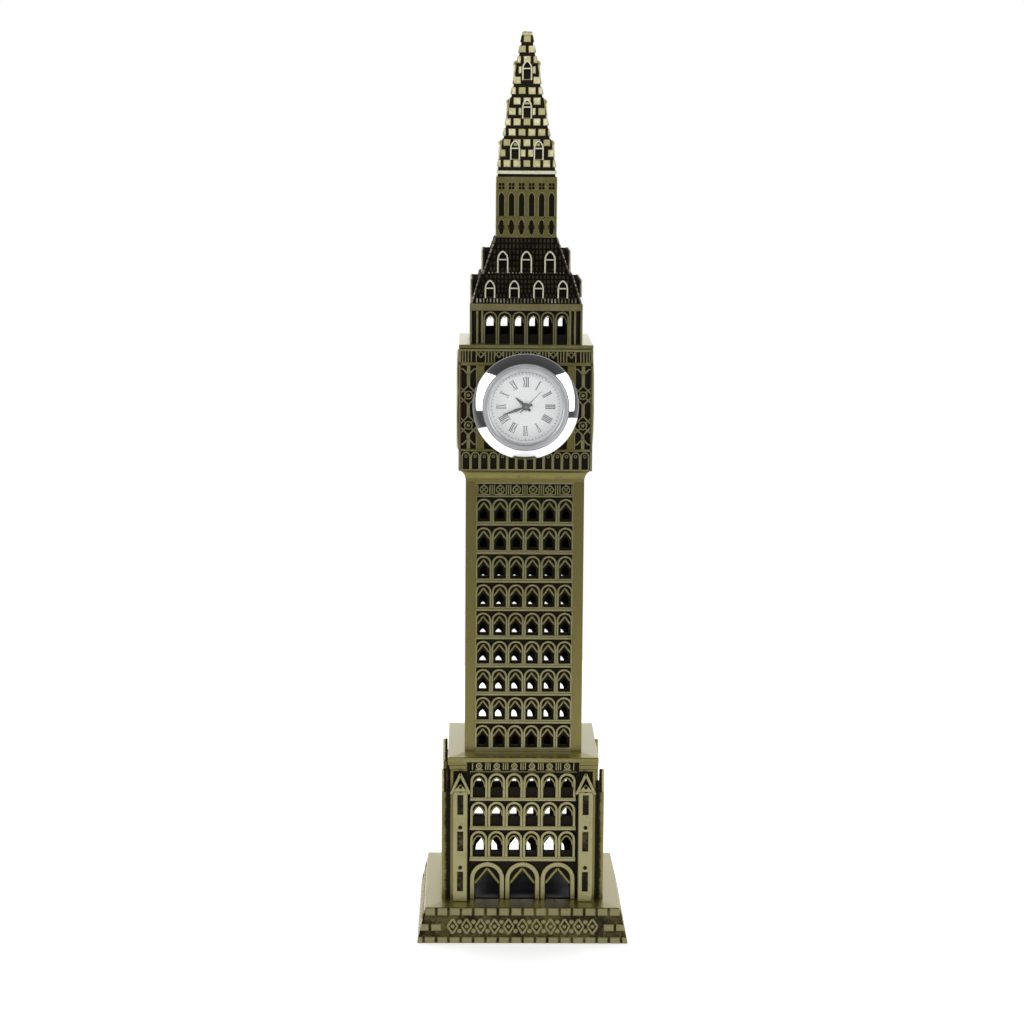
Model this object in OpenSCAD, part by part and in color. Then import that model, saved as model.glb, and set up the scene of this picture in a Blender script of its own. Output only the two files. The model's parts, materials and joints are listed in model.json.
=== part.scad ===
// Miniature clock tower in cast metal, built storey by storey from mitred wall panels,
// with a push-in quartz clock in its front face.
// Millimetres. Z is up, the clock faces -Y, and the origin is the middle of the footprint.

/* [Plinth] */
// Width of the plinth at the floor
base_w = 72.6; // [72:0.2:88]
// Width of the plinth at its top edge
base_top_w = 67.2; // [64:0.2:71]
// Height of the plinth at its top edge
base_h = 12; // [10:0.5:20]
// Rise of the sloped top from its edge to the seat of the lower storey
base_rise = 0.3; // [0.2:0.1:1]
// Wall thickness of the plinth castings
plinth_t = 1.6; // [1.2:0.1:2.4]

/* [Lower storey] */
// Width of the lower storey between opposite wall faces
lower_w = 50; // [41:0.5:53]
// Height of the lower storey up to the edge of its ledge
lower_h = 50.8; // [45:0.2:62]
// Width over the ledge
ledge_w = 52; // [48:0.5:55]
// Rise of the ledge from its edge to the foot of the shaft
ledge_rise = 0.7; // [0.4:0.1:1.5]
// Width of a buttress
buttress_w = 5; // [4:0.1:6]
// How far a buttress stands out from the wall face
buttress_proud = 3.1; // [2:0.1:3.4]
// Wall thickness of the lower storey
lower_t = 2.2; // [1.8:0.1:3]

/* [Shaft] */
// Width of the shaft
shaft_w = 40.4; // [36:0.2:42]
// Height of the shaft
shaft_h = 94.4; // [75:0.2:120]
// Wall thickness of the shaft
shaft_t = 2; // [1.6:0.1:2.6]
// Width of the plain strip at each corner of the shaft
pilaster_w = 3.4; // [2.5:0.1:5]
// Window rows up the shaft
shaft_rows = 9; // [6:1:11]
// Windows across each wall
bays = 6; // [4:1:7]

/* [Clock storey] */
// Width of the clock storey
clock_w = 45.4; // [44:0.2:55]
// Height of the clock storey under its cornice
clock_h = 41.5; // [40:0.5:50]
// Height of the hollow curve between shaft and clock storey
cove_h = 4.1; // [3:0.1:6]
// Wall thickness of the clock storey
clock_t = 2; // [1.6:0.1:3]
// Thickness of the cornice plate over the clock storey
cornice_t = 1.4; // [1:0.1:2.5]

/* [Belfry and roofs] */
// Width of the belfry
belfry_w = 38.2; // [34:0.2:42]
// Height of the belfry
belfry_h = 13.6; // [11:0.1:18]
// Wall thickness of the belfry
belfry_t = 1.8; // [1.4:0.1:2.4]
// Height of the lower roof
lower_roof_h = 9.65; // [8:0.05:13]
// Width of the upper roof at its eaves
upper_roof_w = 30.4; // [27:0.2:33]
// Height of the upper roof
upper_roof_h = 12.15; // [9:0.05:16]
// Wall thickness of the roof castings
roof_t = 3.6; // [3.2:0.1:4.5]

/* [Lantern and spire] */
// Width of the lantern
lantern_w = 20.6; // [18:0.2:24]
// Height of the lantern
lantern_h = 20.5; // [16:0.1:28]
// Wall thickness of the lantern
lantern_t = 1.6; // [1.2:0.1:2.2]
// Height of the spire with its foot moulding
spire_h = 47.6; // [38:0.2:62]
// Width of the spire at its top
spire_top_w = 3.8; // [3:0.1:5]
// Height of the rounded cap on the spire
cap_h = 1.3; // [1:0.1:2.5]

/* [Clock insert] */
// Outside diameter of the chrome bezel
bezel_d = 36; // [33:0.2:40]
// Diameter of the round hole that takes the insert
bore_d = 30; // [29.8:0.1:30.6]
// Diameter of the visible dial inside the bezel lip
sight_d = 25.4; // [23:0.2:25.6]
// Height of the dial centre above the foot of the clock storey
dial_rise = 22; // [20.5:0.1:24]
// How far the bezel stands out from the wall
bezel_h = 3.6; // [3.3:0.1:5]
// Depth of the insert's case behind the wall face
case_depth = 10.6; // [10.4:0.1:14]
// Angle of the hour hand, clockwise from the top
hour_angle = 312; // [0:1:360]
// Angle of the minute hand, clockwise from the top
minute_angle = 250; // [0:1:360]
// Angle of the second hand, clockwise from the top
second_angle = 45; // [0:1:360]

/* [Fits] */
// Radial clearance of shafts that turn in their holes
run = 0.04; // [0.02:0.01:0.08]
// Clearance round pieces that drop into place
drop = 0.15; // [0.1:0.05:0.3]

/* [Hidden] */

BRASS = "darkkhaki";
DARK_BRASS = "darkolivegreen";
STEEL = "lightslategray";
GEAR = "gold";
POLYMER = "dimgray";
FINE = 72;

// Sides of the tower, as quarter turns from the front
FRONT = 0;
RIGHT = 1;
BACK = 2;
LEFT = 3;

// Levels, from the floor up
seat_z = base_h + base_rise;
ledge_z = seat_z + lower_h;
shaft_z = ledge_z + ledge_rise;
cove_z = shaft_z + shaft_h;
clock_z = cove_z + cove_h;
cornice_z = clock_z + clock_h;
belfry_z = cornice_z + cornice_t;
lower_roof_z = belfry_z + belfry_h;
upper_roof_z = lower_roof_z + lower_roof_h;
lantern_z = upper_roof_z + upper_roof_h;
spire_z = lantern_z + lantern_h;
cap_z = spire_z + spire_h;

// Plinth
seat_half = lower_w / 2 + buttress_proud + 0.4;
flange_half = lower_w / 2 - lower_t - 2;
plinth_slope = (base_w - base_top_w) / 2 / base_h;
pad_t = 1.2;
base_plate_t = 1;
base_plate_top = pad_t + base_plate_t;
deck_t = 1;
deck_z = base_h - plinth_t;
base_plate_half = base_w / 2 - (base_w - base_top_w) / 2 * base_plate_top / deck_z - plinth_t - drop / 2;
deck_half = flange_half + 2.6;
boss_r = 2.3;
boss_y = deck_half + drop + boss_r;
screw_r = 1;
screw_head_r = 1.9;
screw_head_t = 0.5;
screw_l = 6;

// Lower storey
ledge_depth = 5;
ledge_t = 2;
ledge_foot_z = ledge_z - ledge_depth;
arcade_w = lower_w - 14;
bay_count_wide = 3;
band_h = 1.4;
wide_arch_h = 0.27 * (ledge_foot_z - seat_z);
lower_row_h = (ledge_foot_z - seat_z - wide_arch_h) / 3;
buttress_x = lower_w / 2 - buttress_w / 2 - 0.9;
buttress_eaves_z = seat_z + 0.77 * lower_h;
buttress_top_z = seat_z + 0.895 * lower_h;
slot_w = 2.1;
slot_deep = 0.7;
relief = 0.7;

// Shaft
panel_w = shaft_w - 2 * pilaster_w;
bay_w = panel_w / bays;
frieze_h = 5.3;
row_h = (shaft_h - frieze_h) / shaft_rows;

// Clock storey
arcade_h = 5.9;
side_panel_w = 5.2;
dial_z = clock_z + dial_rise;
bore_r = bore_d / 2;
cast_ring_r = 17.5;
cast_ring_t = 0.8;

// Roofs
eaves_w = belfry_w - 0.2;
lower_roof_top_w = upper_roof_w + 0.6;
foot_w = lantern_w + 0.2;
dormer_w = 4;
spire_w = lantern_w - 0.2;

// Clock insert, in depths from the wall face: plus is towards the viewer
case_r = bore_r - 0.4;
case_inner_r = case_r - 0.8;
train_r = case_inner_r - 0.6;
bezel_r = bezel_d / 2;
sight_r = sight_d / 2;
lip_r = sight_r + 1.65;
skirt_r = case_inner_r - 0.02;
skirt_inner_r = skirt_r - 0.72;
crystal_r = skirt_inner_r - 0.02;
crystal_front = bezel_h - 0.6;
crystal_back = crystal_front - 1;
dial_t = 0.4;
plate_front = -1.9;
plate_back = -2.9;
bridge_front = -6.2;
bridge_back = -7;
cover_t = 0.8;
knob_gap = 0.2;
pivot_r = 0.25;
pivot_deep = 0.5;

// Wheels: a module is the pitch diameter over the number of teeth
fine_module = 0.15;
slow_module = 0.15 * 34 / 36;
drive_module = 0.11;
second_module = 0.145;
motion_module = 0.2;
third_a = 34 * fine_module;
third_xy = [0, third_a];
drive_angle = 200;
drive_a = 35 * second_module;
intermediate_xy = drive_a * [cos(drive_angle), sin(drive_angle)];
rotor_angle = 250;
rotor_a = 24 * drive_module;
rotor_xy = intermediate_xy + rotor_a * [cos(rotor_angle), sin(rotor_angle)];
motion_a = 20 * motion_module;
minute_wheel_angle = -60;
minute_wheel_xy = motion_a * [cos(minute_wheel_angle), sin(minute_wheel_angle)];
stem_xy = minute_wheel_xy + [motion_a, 0];
stem_r = 0.8;
battery_xy = [1.5, -9.2];
battery_r = 3.4;
battery_t = 2.6;
battery_front = -4.6;
pillars = [[-9.5, 7], [10.6, 5], [8, -8.8]];
pillar_r = 0.9;
coil_x = -9.6;
coil_y0 = -6.9;
coil_y1 = 0.5;
coil_r = 1.3;
core_w = 1.2;
core_front = -4.3;
core_t = 0.6;
post_r = 0.35;
tube_r = 0.5;
cannon_r = 0.7;
hour_tube_r = 1.05;

// ---- Outlines and shared shapes ----

function box_path(x0, z0, x1, z1) = [[x0, z0], [x1, z0], [x1, z1], [x0, z1]];

// Opening with a pointed head: foot at z, overall height h, each side of the head an arc of radius w
function lancet_path(x, z, w, h, n = 4) =
    let (spring = z + h - w * sin(60))
    concat(
        [[x - w / 2, z], [x + w / 2, z]],
        [for (k = [0:n]) [x - w / 2 + w * cos(60 * k / n), spring + w * sin(60 * k / n)]],
        [for (k = [1:n]) [x + w / 2 - w * cos(60 - 60 * k / n), spring + w * sin(60 - 60 * k / n)]]
    );

// Opening with a half-round head
function round_path(x, z, w, h, n = 10) =
    concat(
        [[x - w / 2, z], [x + w / 2, z]],
        [for (k = [0:n]) [x + w / 2 * cos(180 * k / n), z + h - w / 2 + w / 2 * sin(180 * k / n)]]
    );

// Gabled outline: eaves at height e, apex at height h
function gable_path(x, z, w, e, h) =
    [[x - w / 2, z], [x + w / 2, z], [x + w / 2, z + e], [x, z + h], [x - w / 2, z + e]];

function spaced(count, pitch) = [for (k = [0:count - 1]) (k - (count - 1) / 2) * pitch];

// Teeth as four points each, with backlash left between meshing wheels
function gear_path(teeth, size, phase) =
    let (pitch = 360 / teeth, root = size * (teeth / 2 - 1.15), tip = size * (teeth / 2 + 0.8))
    [for (k = [0:teeth - 1]) for (c = [[-0.27, root], [-0.1, tip], [0.1, tip], [0.27, root]])
        let (a = phase + (k + c[0]) * pitch) c[1] * [cos(a), sin(a)]];

module pierced(outer, holes) {
    loops = concat([outer], holes);
    starts = [for (i = 0, s = 0; i < len(loops); s = s + len(loops[i]), i = i + 1) s];
    polygon(
        points = [for (loop = loops) each loop],
        paths = [for (i = [0:len(loops) - 1]) [for (j = [0:len(loops[i]) - 1]) starts[i] + j]]
    );
}

module side(turns) rotate([0, 0, 90 * turns]) children();

// Stands an x-z outline up as a slab whose outer face is at y = -face
module slab(face, t) translate([0, t - face, 0]) rotate([90, 0, 0]) linear_extrude(t) children();

// Runs a y-z section along x
module moulding(length) rotate([90, 0, 90]) linear_extrude(length, center = true) children();

// Keeps what lies between the two corner mitres of one side
module mitred(half, z0, z1) {
    intersection() {
        children();
        translate([0, 0, z0]) linear_extrude(z1 - z0) polygon([[0, 0], [-half, -half], [half, -half]]);
    }
}

// Square block that narrows from width w0 at z0 to width w1 at z1
module taper(w0, z0, w1, z1) {
    section = [[-w0 / 2, z0], [w0 / 2, z0], [w1 / 2, z1], [-w1 / 2, z1]];
    intersection() {
        moulding(w0 + 1) polygon(section);
        rotate([0, 0, 90]) moulding(w0 + 1) polygon(section);
    }
}

// Width of a taper at height z
function taper_w(w0, z0, w1, z1, z) = w0 + (w1 - w0) * (z - z0) / (z1 - z0);

// Gabled window standing out from a slope, from its front plane back to the middle of the tower
module dormer(x, z, w, eaves, h, face) {
    slab(face, face - 1) polygon(gable_path(x, z, w, eaves, h));
}

module dormer_opening(x, z, w, eaves, h, face, deep) {
    sill = z + 0.5;
    slab(face + 0.1, deep + 0.1) polygon(box_path(x - w * 0.29, sill, x + w * 0.29, z + eaves - 0.6));
    slab(face + 0.1, deep + 0.1)
        polygon([[x - w * 0.2, z + eaves], [x + w * 0.2, z + eaves], [x, z + h - 1]]);
}

// Frame of the clock insert: x to the right, y up, and z out of the wall towards the viewer
module insert() translate([0, -clock_w / 2, dial_z]) rotate([90, 0, 0]) children();

// Round piece between two depths
module disc(r, back, front) translate([0, 0, back]) cylinder(r = r, h = front - back, $fn = FINE);

module disc_at(xy, r, back, front) translate([xy[0], xy[1], 0]) disc(r, back, front);

module wheel(xy, teeth, size, phase, back, front) {
    translate([xy[0], xy[1], back]) linear_extrude(front - back) polygon(gear_path(teeth, size, phase));
}

// ---- Plinth ----

module plinth_panel() {
    bottom = base_w / 2;
    top = base_top_w / 2;
    difference() {
        union() {
            mitred(bottom, 0, seat_z) moulding(base_w) polygon([
                [-bottom, 0], [-top, base_h], [-seat_half, seat_z], [-flange_half, seat_z],
                [-flange_half, deck_z], [plinth_t - top, deck_z], [plinth_t - bottom, 0]
            ]);
            translate([0, -boss_y, base_plate_top])
                cylinder(r = boss_r, h = deck_z - base_plate_top, $fn = FINE);
        }
        translate([0, -boss_y, base_plate_top - 1]) cylinder(r = screw_r + run, h = screw_l + 1, $fn = FINE);
    }
}

module base_pad() {
    half = base_w / 2 - plinth_slope * pad_t - plinth_t - 0.8;
    color("black") translate([-half, -half, 0]) cube([2 * half, 2 * half, pad_t]);
}

module base_plate() {
    color(STEEL) difference() {
        translate([-base_plate_half, -base_plate_half, pad_t])
            cube([2 * base_plate_half, 2 * base_plate_half, base_plate_t]);
        for (turns = [0:3]) side(turns) translate([0, -boss_y, pad_t - 1]) {
            cylinder(r = screw_r + drop, h = base_plate_t + 2, $fn = FINE);
            cylinder(r = screw_head_r + drop, h = 1 + screw_head_t + 0.05, $fn = FINE);
        }
    }
}

module base_screws() {
    color(STEEL) for (turns = [0:3]) side(turns) translate([0, -boss_y, pad_t]) difference() {
        union() {
            cylinder(r = screw_head_r, h = screw_head_t, $fn = FINE);
            cylinder(r = screw_r, h = screw_l, $fn = FINE);
        }
        translate([-screw_head_r * 0.7, -0.25, -1]) cube([screw_head_r * 1.4, 0.5, 1.25]);
        translate([-0.25, -screw_head_r * 0.7, -1]) cube([0.5, screw_head_r * 1.4, 1.25]);
    }
}

module deck_plate() {
    color(STEEL) translate([-deck_half, -deck_half, deck_z - deck_t])
        cube([2 * deck_half, 2 * deck_half, deck_t]);
}

// ---- Lower storey ----

module lower_wall() {
    half = lower_w / 2;
    pitch = arcade_w / bays;
    wide_pitch = arcade_w / bay_count_wide;
    outline = box_path(-half, seat_z, half, ledge_foot_z);
    row_zs = [for (k = [0:2]) seat_z + wide_arch_h + k * lower_row_h + band_h];
    row_open = lower_row_h - band_h;
    mitred(max(half + buttress_proud, ledge_w / 2), seat_z, shaft_z) union() {
        slab(half, relief) pierced(outline, concat(
            [for (x = spaced(bay_count_wide, wide_pitch))
                round_path(x, seat_z + 0.3, wide_pitch - 2.4, wide_arch_h - 0.9)],
            [for (z = row_zs) for (x = spaced(bays, pitch)) round_path(x, z, pitch - 1.6, row_open - 0.6)]
        ));
        slab(half - relief, lower_t - relief) pierced(outline, concat(
            [for (x = spaced(bay_count_wide, wide_pitch))
                lancet_path(x, seat_z + 0.3, wide_pitch - 4, wide_arch_h - 2.2)],
            [for (z = row_zs) for (x = spaced(bays, pitch)) lancet_path(x, z, pitch - 2.6, row_open - 1.6)]
        ));
        ledge();
        for (x = [-buttress_x, buttress_x]) buttress(x);
    }
}

// Moulded ledge over the arcade, with the seat of the shaft on its inner edge
module ledge() {
    edge = ledge_w / 2;
    inner = lower_w / 2 - lower_t;
    lip = shaft_w / 2 - shaft_t - 1;
    moulding(ledge_w) polygon([
        [-lower_w / 2, ledge_foot_z], [-edge, ledge_foot_z + 1.2], [-edge, ledge_z],
        [-shaft_w / 2 - 0.1, shaft_z], [-lip, shaft_z], [-lip, shaft_z - ledge_t],
        [-inner, shaft_z - ledge_t - 1], [-inner, ledge_foot_z]
    ]);
}

module buttress(x) {
    face = lower_w / 2 + buttress_proud;
    eaves = buttress_eaves_z - seat_z;
    apex = buttress_top_z - seat_z;
    tier = eaves / 3;
    difference() {
        slab(face, buttress_proud) polygon(gable_path(x, seat_z, buttress_w, eaves, apex));
        for (k = [0:2]) {
            foot = seat_z + k * tier + 0.3 * tier;
            slab(face + 0.1, slot_deep + 0.1)
                polygon(box_path(x - slot_w / 2, foot, x + slot_w / 2, foot + 0.52 * tier));
            translate([x, -face - 0.1, foot + 0.52 * tier + 1.6]) rotate([-90, 0, 0])
                cylinder(d = 1.4, h = slot_deep + 0.1, $fn = 24);
        }
    }
}

// ---- Shaft ----

module shaft_wall() {
    half = shaft_w / 2;
    outline = box_path(-half, shaft_z, half, cove_z);
    row_open = row_h - band_h;
    row_zs = [for (k = [0:shaft_rows - 1]) shaft_z + k * row_h + band_h];
    mitred(half, shaft_z, cove_z) union() {
        slab(half, relief) pierced(outline,
            [for (z = row_zs) for (x = spaced(bays, bay_w))
                round_path(x, z, bay_w - 1.4, row_open - 0.5, 8)]);
        slab(half - relief, shaft_t - relief) pierced(outline,
            [for (z = row_zs) for (x = spaced(bays, bay_w))
                lancet_path(x, z, bay_w - 2, row_open - 1.7, 3)]);
    }
}

// ---- Clock storey ----

// Wall with its cove, blind arcade, side panels and upper frieze
module clock_wall() {
    half = clock_w / 2;
    foot = shaft_w / 2;
    steps = 6;
    // The inner face steps in where a deep cove would cut through it
    cove_in = max(0, (sqrt(2) - 1) * (half - foot) + 0.9 - shaft_t);
    arch_pitch = (clock_w - 2) / 14;
    panel_x = half - 0.7 - side_panel_w / 2;
    mid_z = clock_z + arcade_h + 1.6;
    mid_top = cornice_z - arcade_h + 0.6;
    union() {
        mitred(half, cove_z, clock_z) moulding(clock_w) polygon(concat(
            [for (k = [0:steps])
                [(half - foot) * cos(90 * k / steps) - half, cove_z + cove_h * sin(90 * k / steps)]],
            [[clock_t + cove_in - half, clock_z], [shaft_t + cove_in - foot, cove_z]]
        ));
        difference() {
            mitred(half, clock_z, cornice_z) slab(half, clock_t)
                polygon(box_path(-half, clock_z, half, cornice_z));
            for (x = spaced(14, arch_pitch)) slab(half + 1, relief + 1)
                polygon(round_path(x, clock_z + 0.7, arch_pitch - 1, arcade_h - 1.2, 6));
            for (x = [-panel_x, panel_x]) slab(half + 1, relief + 1)
                polygon(box_path(x - side_panel_w / 2, mid_z, x + side_panel_w / 2, mid_top));
            slab(half + 1, relief + 1)
                polygon(box_path(0.9 - half, mid_top + 1.4, half - 0.9, cornice_z - 0.4));
        }
        for (x = [-panel_x, panel_x]) slab(half, relief) {
            polygon(box_path(x - 0.5, mid_z, x + 0.5, mid_top));
        }
        for (x = spaced(7, arch_pitch * 2)) slab(half, relief) {
            polygon(box_path(x - 0.6, mid_top + 1.4, x + 0.6, cornice_z - 0.4));
        }
    }
}

module clock_wall_front() {
    color(BRASS) side(FRONT) difference() {
        clock_wall();
        insert() disc(bore_r, -clock_t - 1, 1);
    }
}

// Wall of the other three sides, with a dial cast in relief
module blind_clock_wall() {
    union() {
        clock_wall();
        insert() difference() {
            disc(cast_ring_r, -relief, cast_ring_t);
            disc(cast_ring_r - 1.8, 0, cast_ring_t + 1);
        }
        insert() disc(1.5, -relief, cast_ring_t);
        insert() for (k = [0:11]) rotate([0, 0, 30 * k]) translate([-0.5, cast_ring_r - 5, -relief])
            cube([1, 3.7, relief + cast_ring_t / 2]);
    }
}

module cornice_plate() {
    color(BRASS) translate([-clock_w / 2, -clock_w / 2, cornice_z]) cube([clock_w, clock_w, cornice_t]);
}

// ---- Belfry ----

module belfry_wall() {
    half = belfry_w / 2;
    open_w = belfry_w - 9.1;
    pitch = open_w / bays;
    open_h = belfry_h - 3.4;
    outline = box_path(-half, belfry_z, half, lower_roof_z);
    mitred(half, belfry_z, lower_roof_z) difference() {
        union() {
            slab(half, relief) pierced(outline,
                [for (x = spaced(bays, pitch)) round_path(x, belfry_z + 0.4, pitch - 1.2, open_h, 8)]);
            slab(half - relief, belfry_t - relief) pierced(outline,
                [for (x = spaced(bays, pitch)) lancet_path(x, belfry_z + 3.2, pitch - 1.9, open_h - 3.9)]);
        }
        for (end = [-1, 1]) for (gap = spaced(2, 1.6)) {
            x = end * (half - 2.5) + gap;
            slab(half + 1, relief + 1)
                polygon(box_path(x - 0.45, belfry_z + 0.4, x + 0.45, belfry_z + open_h));
        }
    }
}

// ---- Roofs ----

module lower_roof() {
    dormer_z = lower_roof_z + 1.9;
    dormer_h = 0.65 * lower_roof_h;
    eaves = dormer_h - 2.2;
    face = belfry_w / 2 - 0.1;
    xs = spaced(4, 0.215 * belfry_w);
    inner_w = eaves_w - 2 * roof_t;
    inner_top = lower_roof_top_w - 2 * roof_t;
    color(DARK_BRASS) difference() {
        union() {
            taper(eaves_w, lower_roof_z, lower_roof_top_w, upper_roof_z);
            for (turns = [0:3]) side(turns) for (x = xs) dormer(x, dormer_z, dormer_w, eaves, dormer_h, face);
        }
        taper(inner_w, lower_roof_z - 0.01, inner_top, upper_roof_z + 0.01);
        for (turns = [0:3]) side(turns) for (x = xs)
            dormer_opening(x, dormer_z, dormer_w, eaves, dormer_h, face, 1.2);
    }
}

module upper_roof() {
    dormer_z = upper_roof_z + 0.5;
    dormer_h = 0.64 * upper_roof_h;
    eaves = dormer_h - 2.4;
    face = upper_roof_w / 2 - 0.1;
    xs = spaced(3, 0.263 * upper_roof_w);
    color(DARK_BRASS) difference() {
        union() {
            taper(upper_roof_w, upper_roof_z, foot_w, lantern_z);
            for (turns = [0:3]) side(turns) for (x = xs) dormer(x, dormer_z, dormer_w, eaves, dormer_h, face);
        }
        taper(upper_roof_w - 2 * roof_t, upper_roof_z - 0.01, foot_w - 2 * lantern_t - 0.6, lantern_z + 0.01);
        for (turns = [0:3]) side(turns) for (x = xs)
            dormer_opening(x, dormer_z, dormer_w, eaves, dormer_h, face, 1.2);
    }
}

// ---- Lantern and spire ----

module lantern() {
    half = lantern_w / 2;
    inner = lantern_w - 2 * lantern_t;
    xs = spaced(6, lantern_w / 6.06);
    pane_z = lantern_z + 0.81 * lantern_h;
    lancet_z = lantern_z + 0.34 * lantern_h;
    slot_z = lantern_z + 0.08 * lantern_h;
    color(BRASS) difference() {
        translate([-half, -half, lantern_z]) cube([lantern_w, lantern_w, lantern_h]);
        translate([-inner / 2, -inner / 2, lantern_z - 1]) cube([inner, inner, lantern_h - 1]);
        for (turns = [0:3]) side(turns) slab(half + 1, 1.8) for (x = xs) {
            polygon(box_path(x - 1, pane_z, x + 1, pane_z + 2.1));
            polygon(lancet_path(x, lancet_z, 1.8, 0.4 * lantern_h));
            polygon(lancet_path(x, slot_z, 1.6, 0.2 * lantern_h));
        }
    }
}

// Spire on a square foot moulding, with three levels of gabled windows
module spire() {
    foot_h = 2.3;
    shell_z = spire_z + foot_h;
    levels = [[0.075, 2], [0.38, 1], [0.665, 1]];
    color(BRASS) difference() {
        union() {
            translate([-spire_w / 2, -spire_w / 2, spire_z]) cube([spire_w, spire_w, foot_h]);
            taper(spire_w, shell_z, spire_top_w, cap_z);
            for (turns = [0:3]) side(turns) for (level = levels) spire_dormers(level, shell_z);
        }
        taper(spire_w - 2 * lantern_t - 1, spire_z - 0.01, 0.8, cap_z - 4);
        for (turns = [0:3]) side(turns) for (level = levels) spire_openings(level, shell_z);
    }
}

function spire_dormer_z(level, shell_z) = shell_z + level[0] * (cap_z - shell_z);
function spire_face(level, shell_z) =
    taper_w(spire_w, shell_z, spire_top_w, cap_z, spire_dormer_z(level, shell_z)) / 2 - 0.05;

module spire_dormers(level, shell_z) {
    z = spire_dormer_z(level, shell_z);
    for (x = spaced(level[1], 8)) slab(spire_face(level, shell_z), spire_face(level, shell_z) - 0.5)
        polygon(gable_path(x, z, 3.5, 4.4, 6.9));
}

module spire_openings(level, shell_z) {
    z = spire_dormer_z(level, shell_z);
    for (x = spaced(level[1], 8)) dormer_opening(x, z, 3.5, 4.4, 6.9, spire_face(level, shell_z), 1);
}

module spire_cap() {
    half = spire_top_w / 2;
    color(BRASS) intersection() {
        translate([-half, -half, cap_z]) cube([spire_top_w, spire_top_w, cap_h]);
        translate([0, 0, cap_z + cap_h - 1.5 * spire_top_w]) sphere(r = 1.5 * spire_top_w, $fn = FINE);
    }
}

// ---- Clock insert: case and dial ----

module bezel() {
    color("silver") insert() rotate_extrude($fn = 120) polygon([
        [case_r, 0], [bezel_r, 0], [bezel_r, 0.6], [bezel_r - 0.3, 0.9],
        [lip_r + 0.1, bezel_h - 0.7], [lip_r, bezel_h - 0.2], [lip_r - 0.3, bezel_h],
        [sight_r + 0.3, bezel_h], [sight_r, bezel_h - 0.3], [sight_r, crystal_front],
        [skirt_inner_r, crystal_front], [skirt_inner_r, -1.2], [skirt_r, -1.2], [skirt_r, 0]
    ]);
}

module crystal() color("lightcyan", 0.4) insert() disc(crystal_r, crystal_back, crystal_front);

module dial_ring() {
    color("silver") insert() rotate_extrude($fn = 120) polygon([
        [sight_r - 0.3, 0], [crystal_r, 0], [crystal_r, crystal_back], [sight_r, crystal_back]
    ]);
}

module dial() {
    color("white") insert() difference() {
        disc(crystal_r, -dial_t, 0);
        disc(hour_tube_r + 0.1, -dial_t - 1, 1);
    }
}

module insert_case() {
    color(POLYMER) insert() rotate_extrude($fn = 120) polygon([
        [case_inner_r, 0], [case_r, 0], [case_r, -case_depth], [case_inner_r, -case_depth],
        [case_inner_r, cover_t - case_depth], [train_r, cover_t - case_depth],
        [train_r, plate_back], [case_inner_r, plate_back]
    ]);
}

module grip_ring() {
    color("black") insert() rotate_extrude($fn = 120) polygon([
        [case_r, -0.2], [bore_r - run, -0.6], [bore_r - run, -0.8], [case_r + 0.15, -1], [bore_r - run, -1.2],
        [bore_r - run, -1.4], [case_r, -1.8]
    ]);
}

module rear_cover() {
    color(POLYMER) insert() difference() {
        disc(case_inner_r - 0.02, -case_depth, cover_t - case_depth);
        disc_at(stem_xy, stem_r + run, -case_depth - 1, cover_t - case_depth + 1);
        translate([battery_xy[0] - 2.5, -case_inner_r + 0.8, -case_depth - 1]) cube([5, 0.8, 1.4]);
    }
}

// ---- Clock insert: movement ----

module movement_plate() {
    color(STEEL) insert() difference() {
        union() {
            disc(case_inner_r - 0.05, plate_back, plate_front);
            difference() {
                disc(skirt_inner_r - 0.05, plate_front, -dial_t);
                disc(skirt_inner_r - 0.75, plate_front - 0.2, 0);
            }
            disc_at(minute_wheel_xy, 0.3, plate_back, -0.65);
            disc_at(battery_xy, battery_r - 0.2, battery_front, plate_back);
            for (p = pillars) disc_at(p, pillar_r, bridge_front, plate_back);
            for (y = [coil_y0 - 0.65, coil_y1 + 0.65])
                disc_at([coil_x, y], post_r, core_front, plate_back);
        }
        disc(tube_r + run, plate_back - 1, plate_front + 1);
        disc_at(third_xy, pivot_r + run, plate_back - 1, plate_back + pivot_deep);
        disc_at(intermediate_xy, pivot_r + run, plate_back - 1, plate_back + pivot_deep);
        disc_at(rotor_xy, pivot_r + run, plate_back - 1, plate_back + pivot_deep);
        disc_at(stem_xy, stem_r + run, plate_back - 1, plate_front + 1);
        for (p = pillars) disc_at(p, 0.5 + run, bridge_front - 1, bridge_front + 1.8);
    }
}

module movement_bridge() {
    color(STEEL) insert() difference() {
        disc(train_r - 0.1, bridge_back, bridge_front);
        for (xy = [[0, 0], third_xy, intermediate_xy, rotor_xy])
            disc_at(xy, pivot_r + run, bridge_front - pivot_deep, bridge_front + 1);
        disc_at(stem_xy, stem_r + run, bridge_back - 1, bridge_front + 1);
        disc_at(battery_xy, battery_r + 0.1, bridge_back - 1, bridge_front + 1);
        for (p = pillars) disc_at(p, 0.6, bridge_back - 1, bridge_front + 1);
    }
}

module bridge_screws() {
    color("silver") insert() for (p = pillars) difference() {
        union() {
            disc_at(p, 1, bridge_back - 0.4, bridge_back);
            disc_at(p, 0.5, bridge_back, bridge_front + 1.6);
        }
        translate([p[0] - 1.2, p[1] - 0.15, bridge_back - 1]) cube([2.4, 0.3, 0.8]);
    }
}

module circuit_board() {
    color("darkgreen") insert() difference() {
        intersection() {
            disc(train_r - 0.4, bridge_back - 0.5, bridge_back);
            translate([-13, -5.5, bridge_back - 1]) cube([10.8, 11.6, 2]);
        }
        disc_at(pillars[0], 1.3, bridge_back - 1, bridge_back + 1);
    }
}

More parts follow.
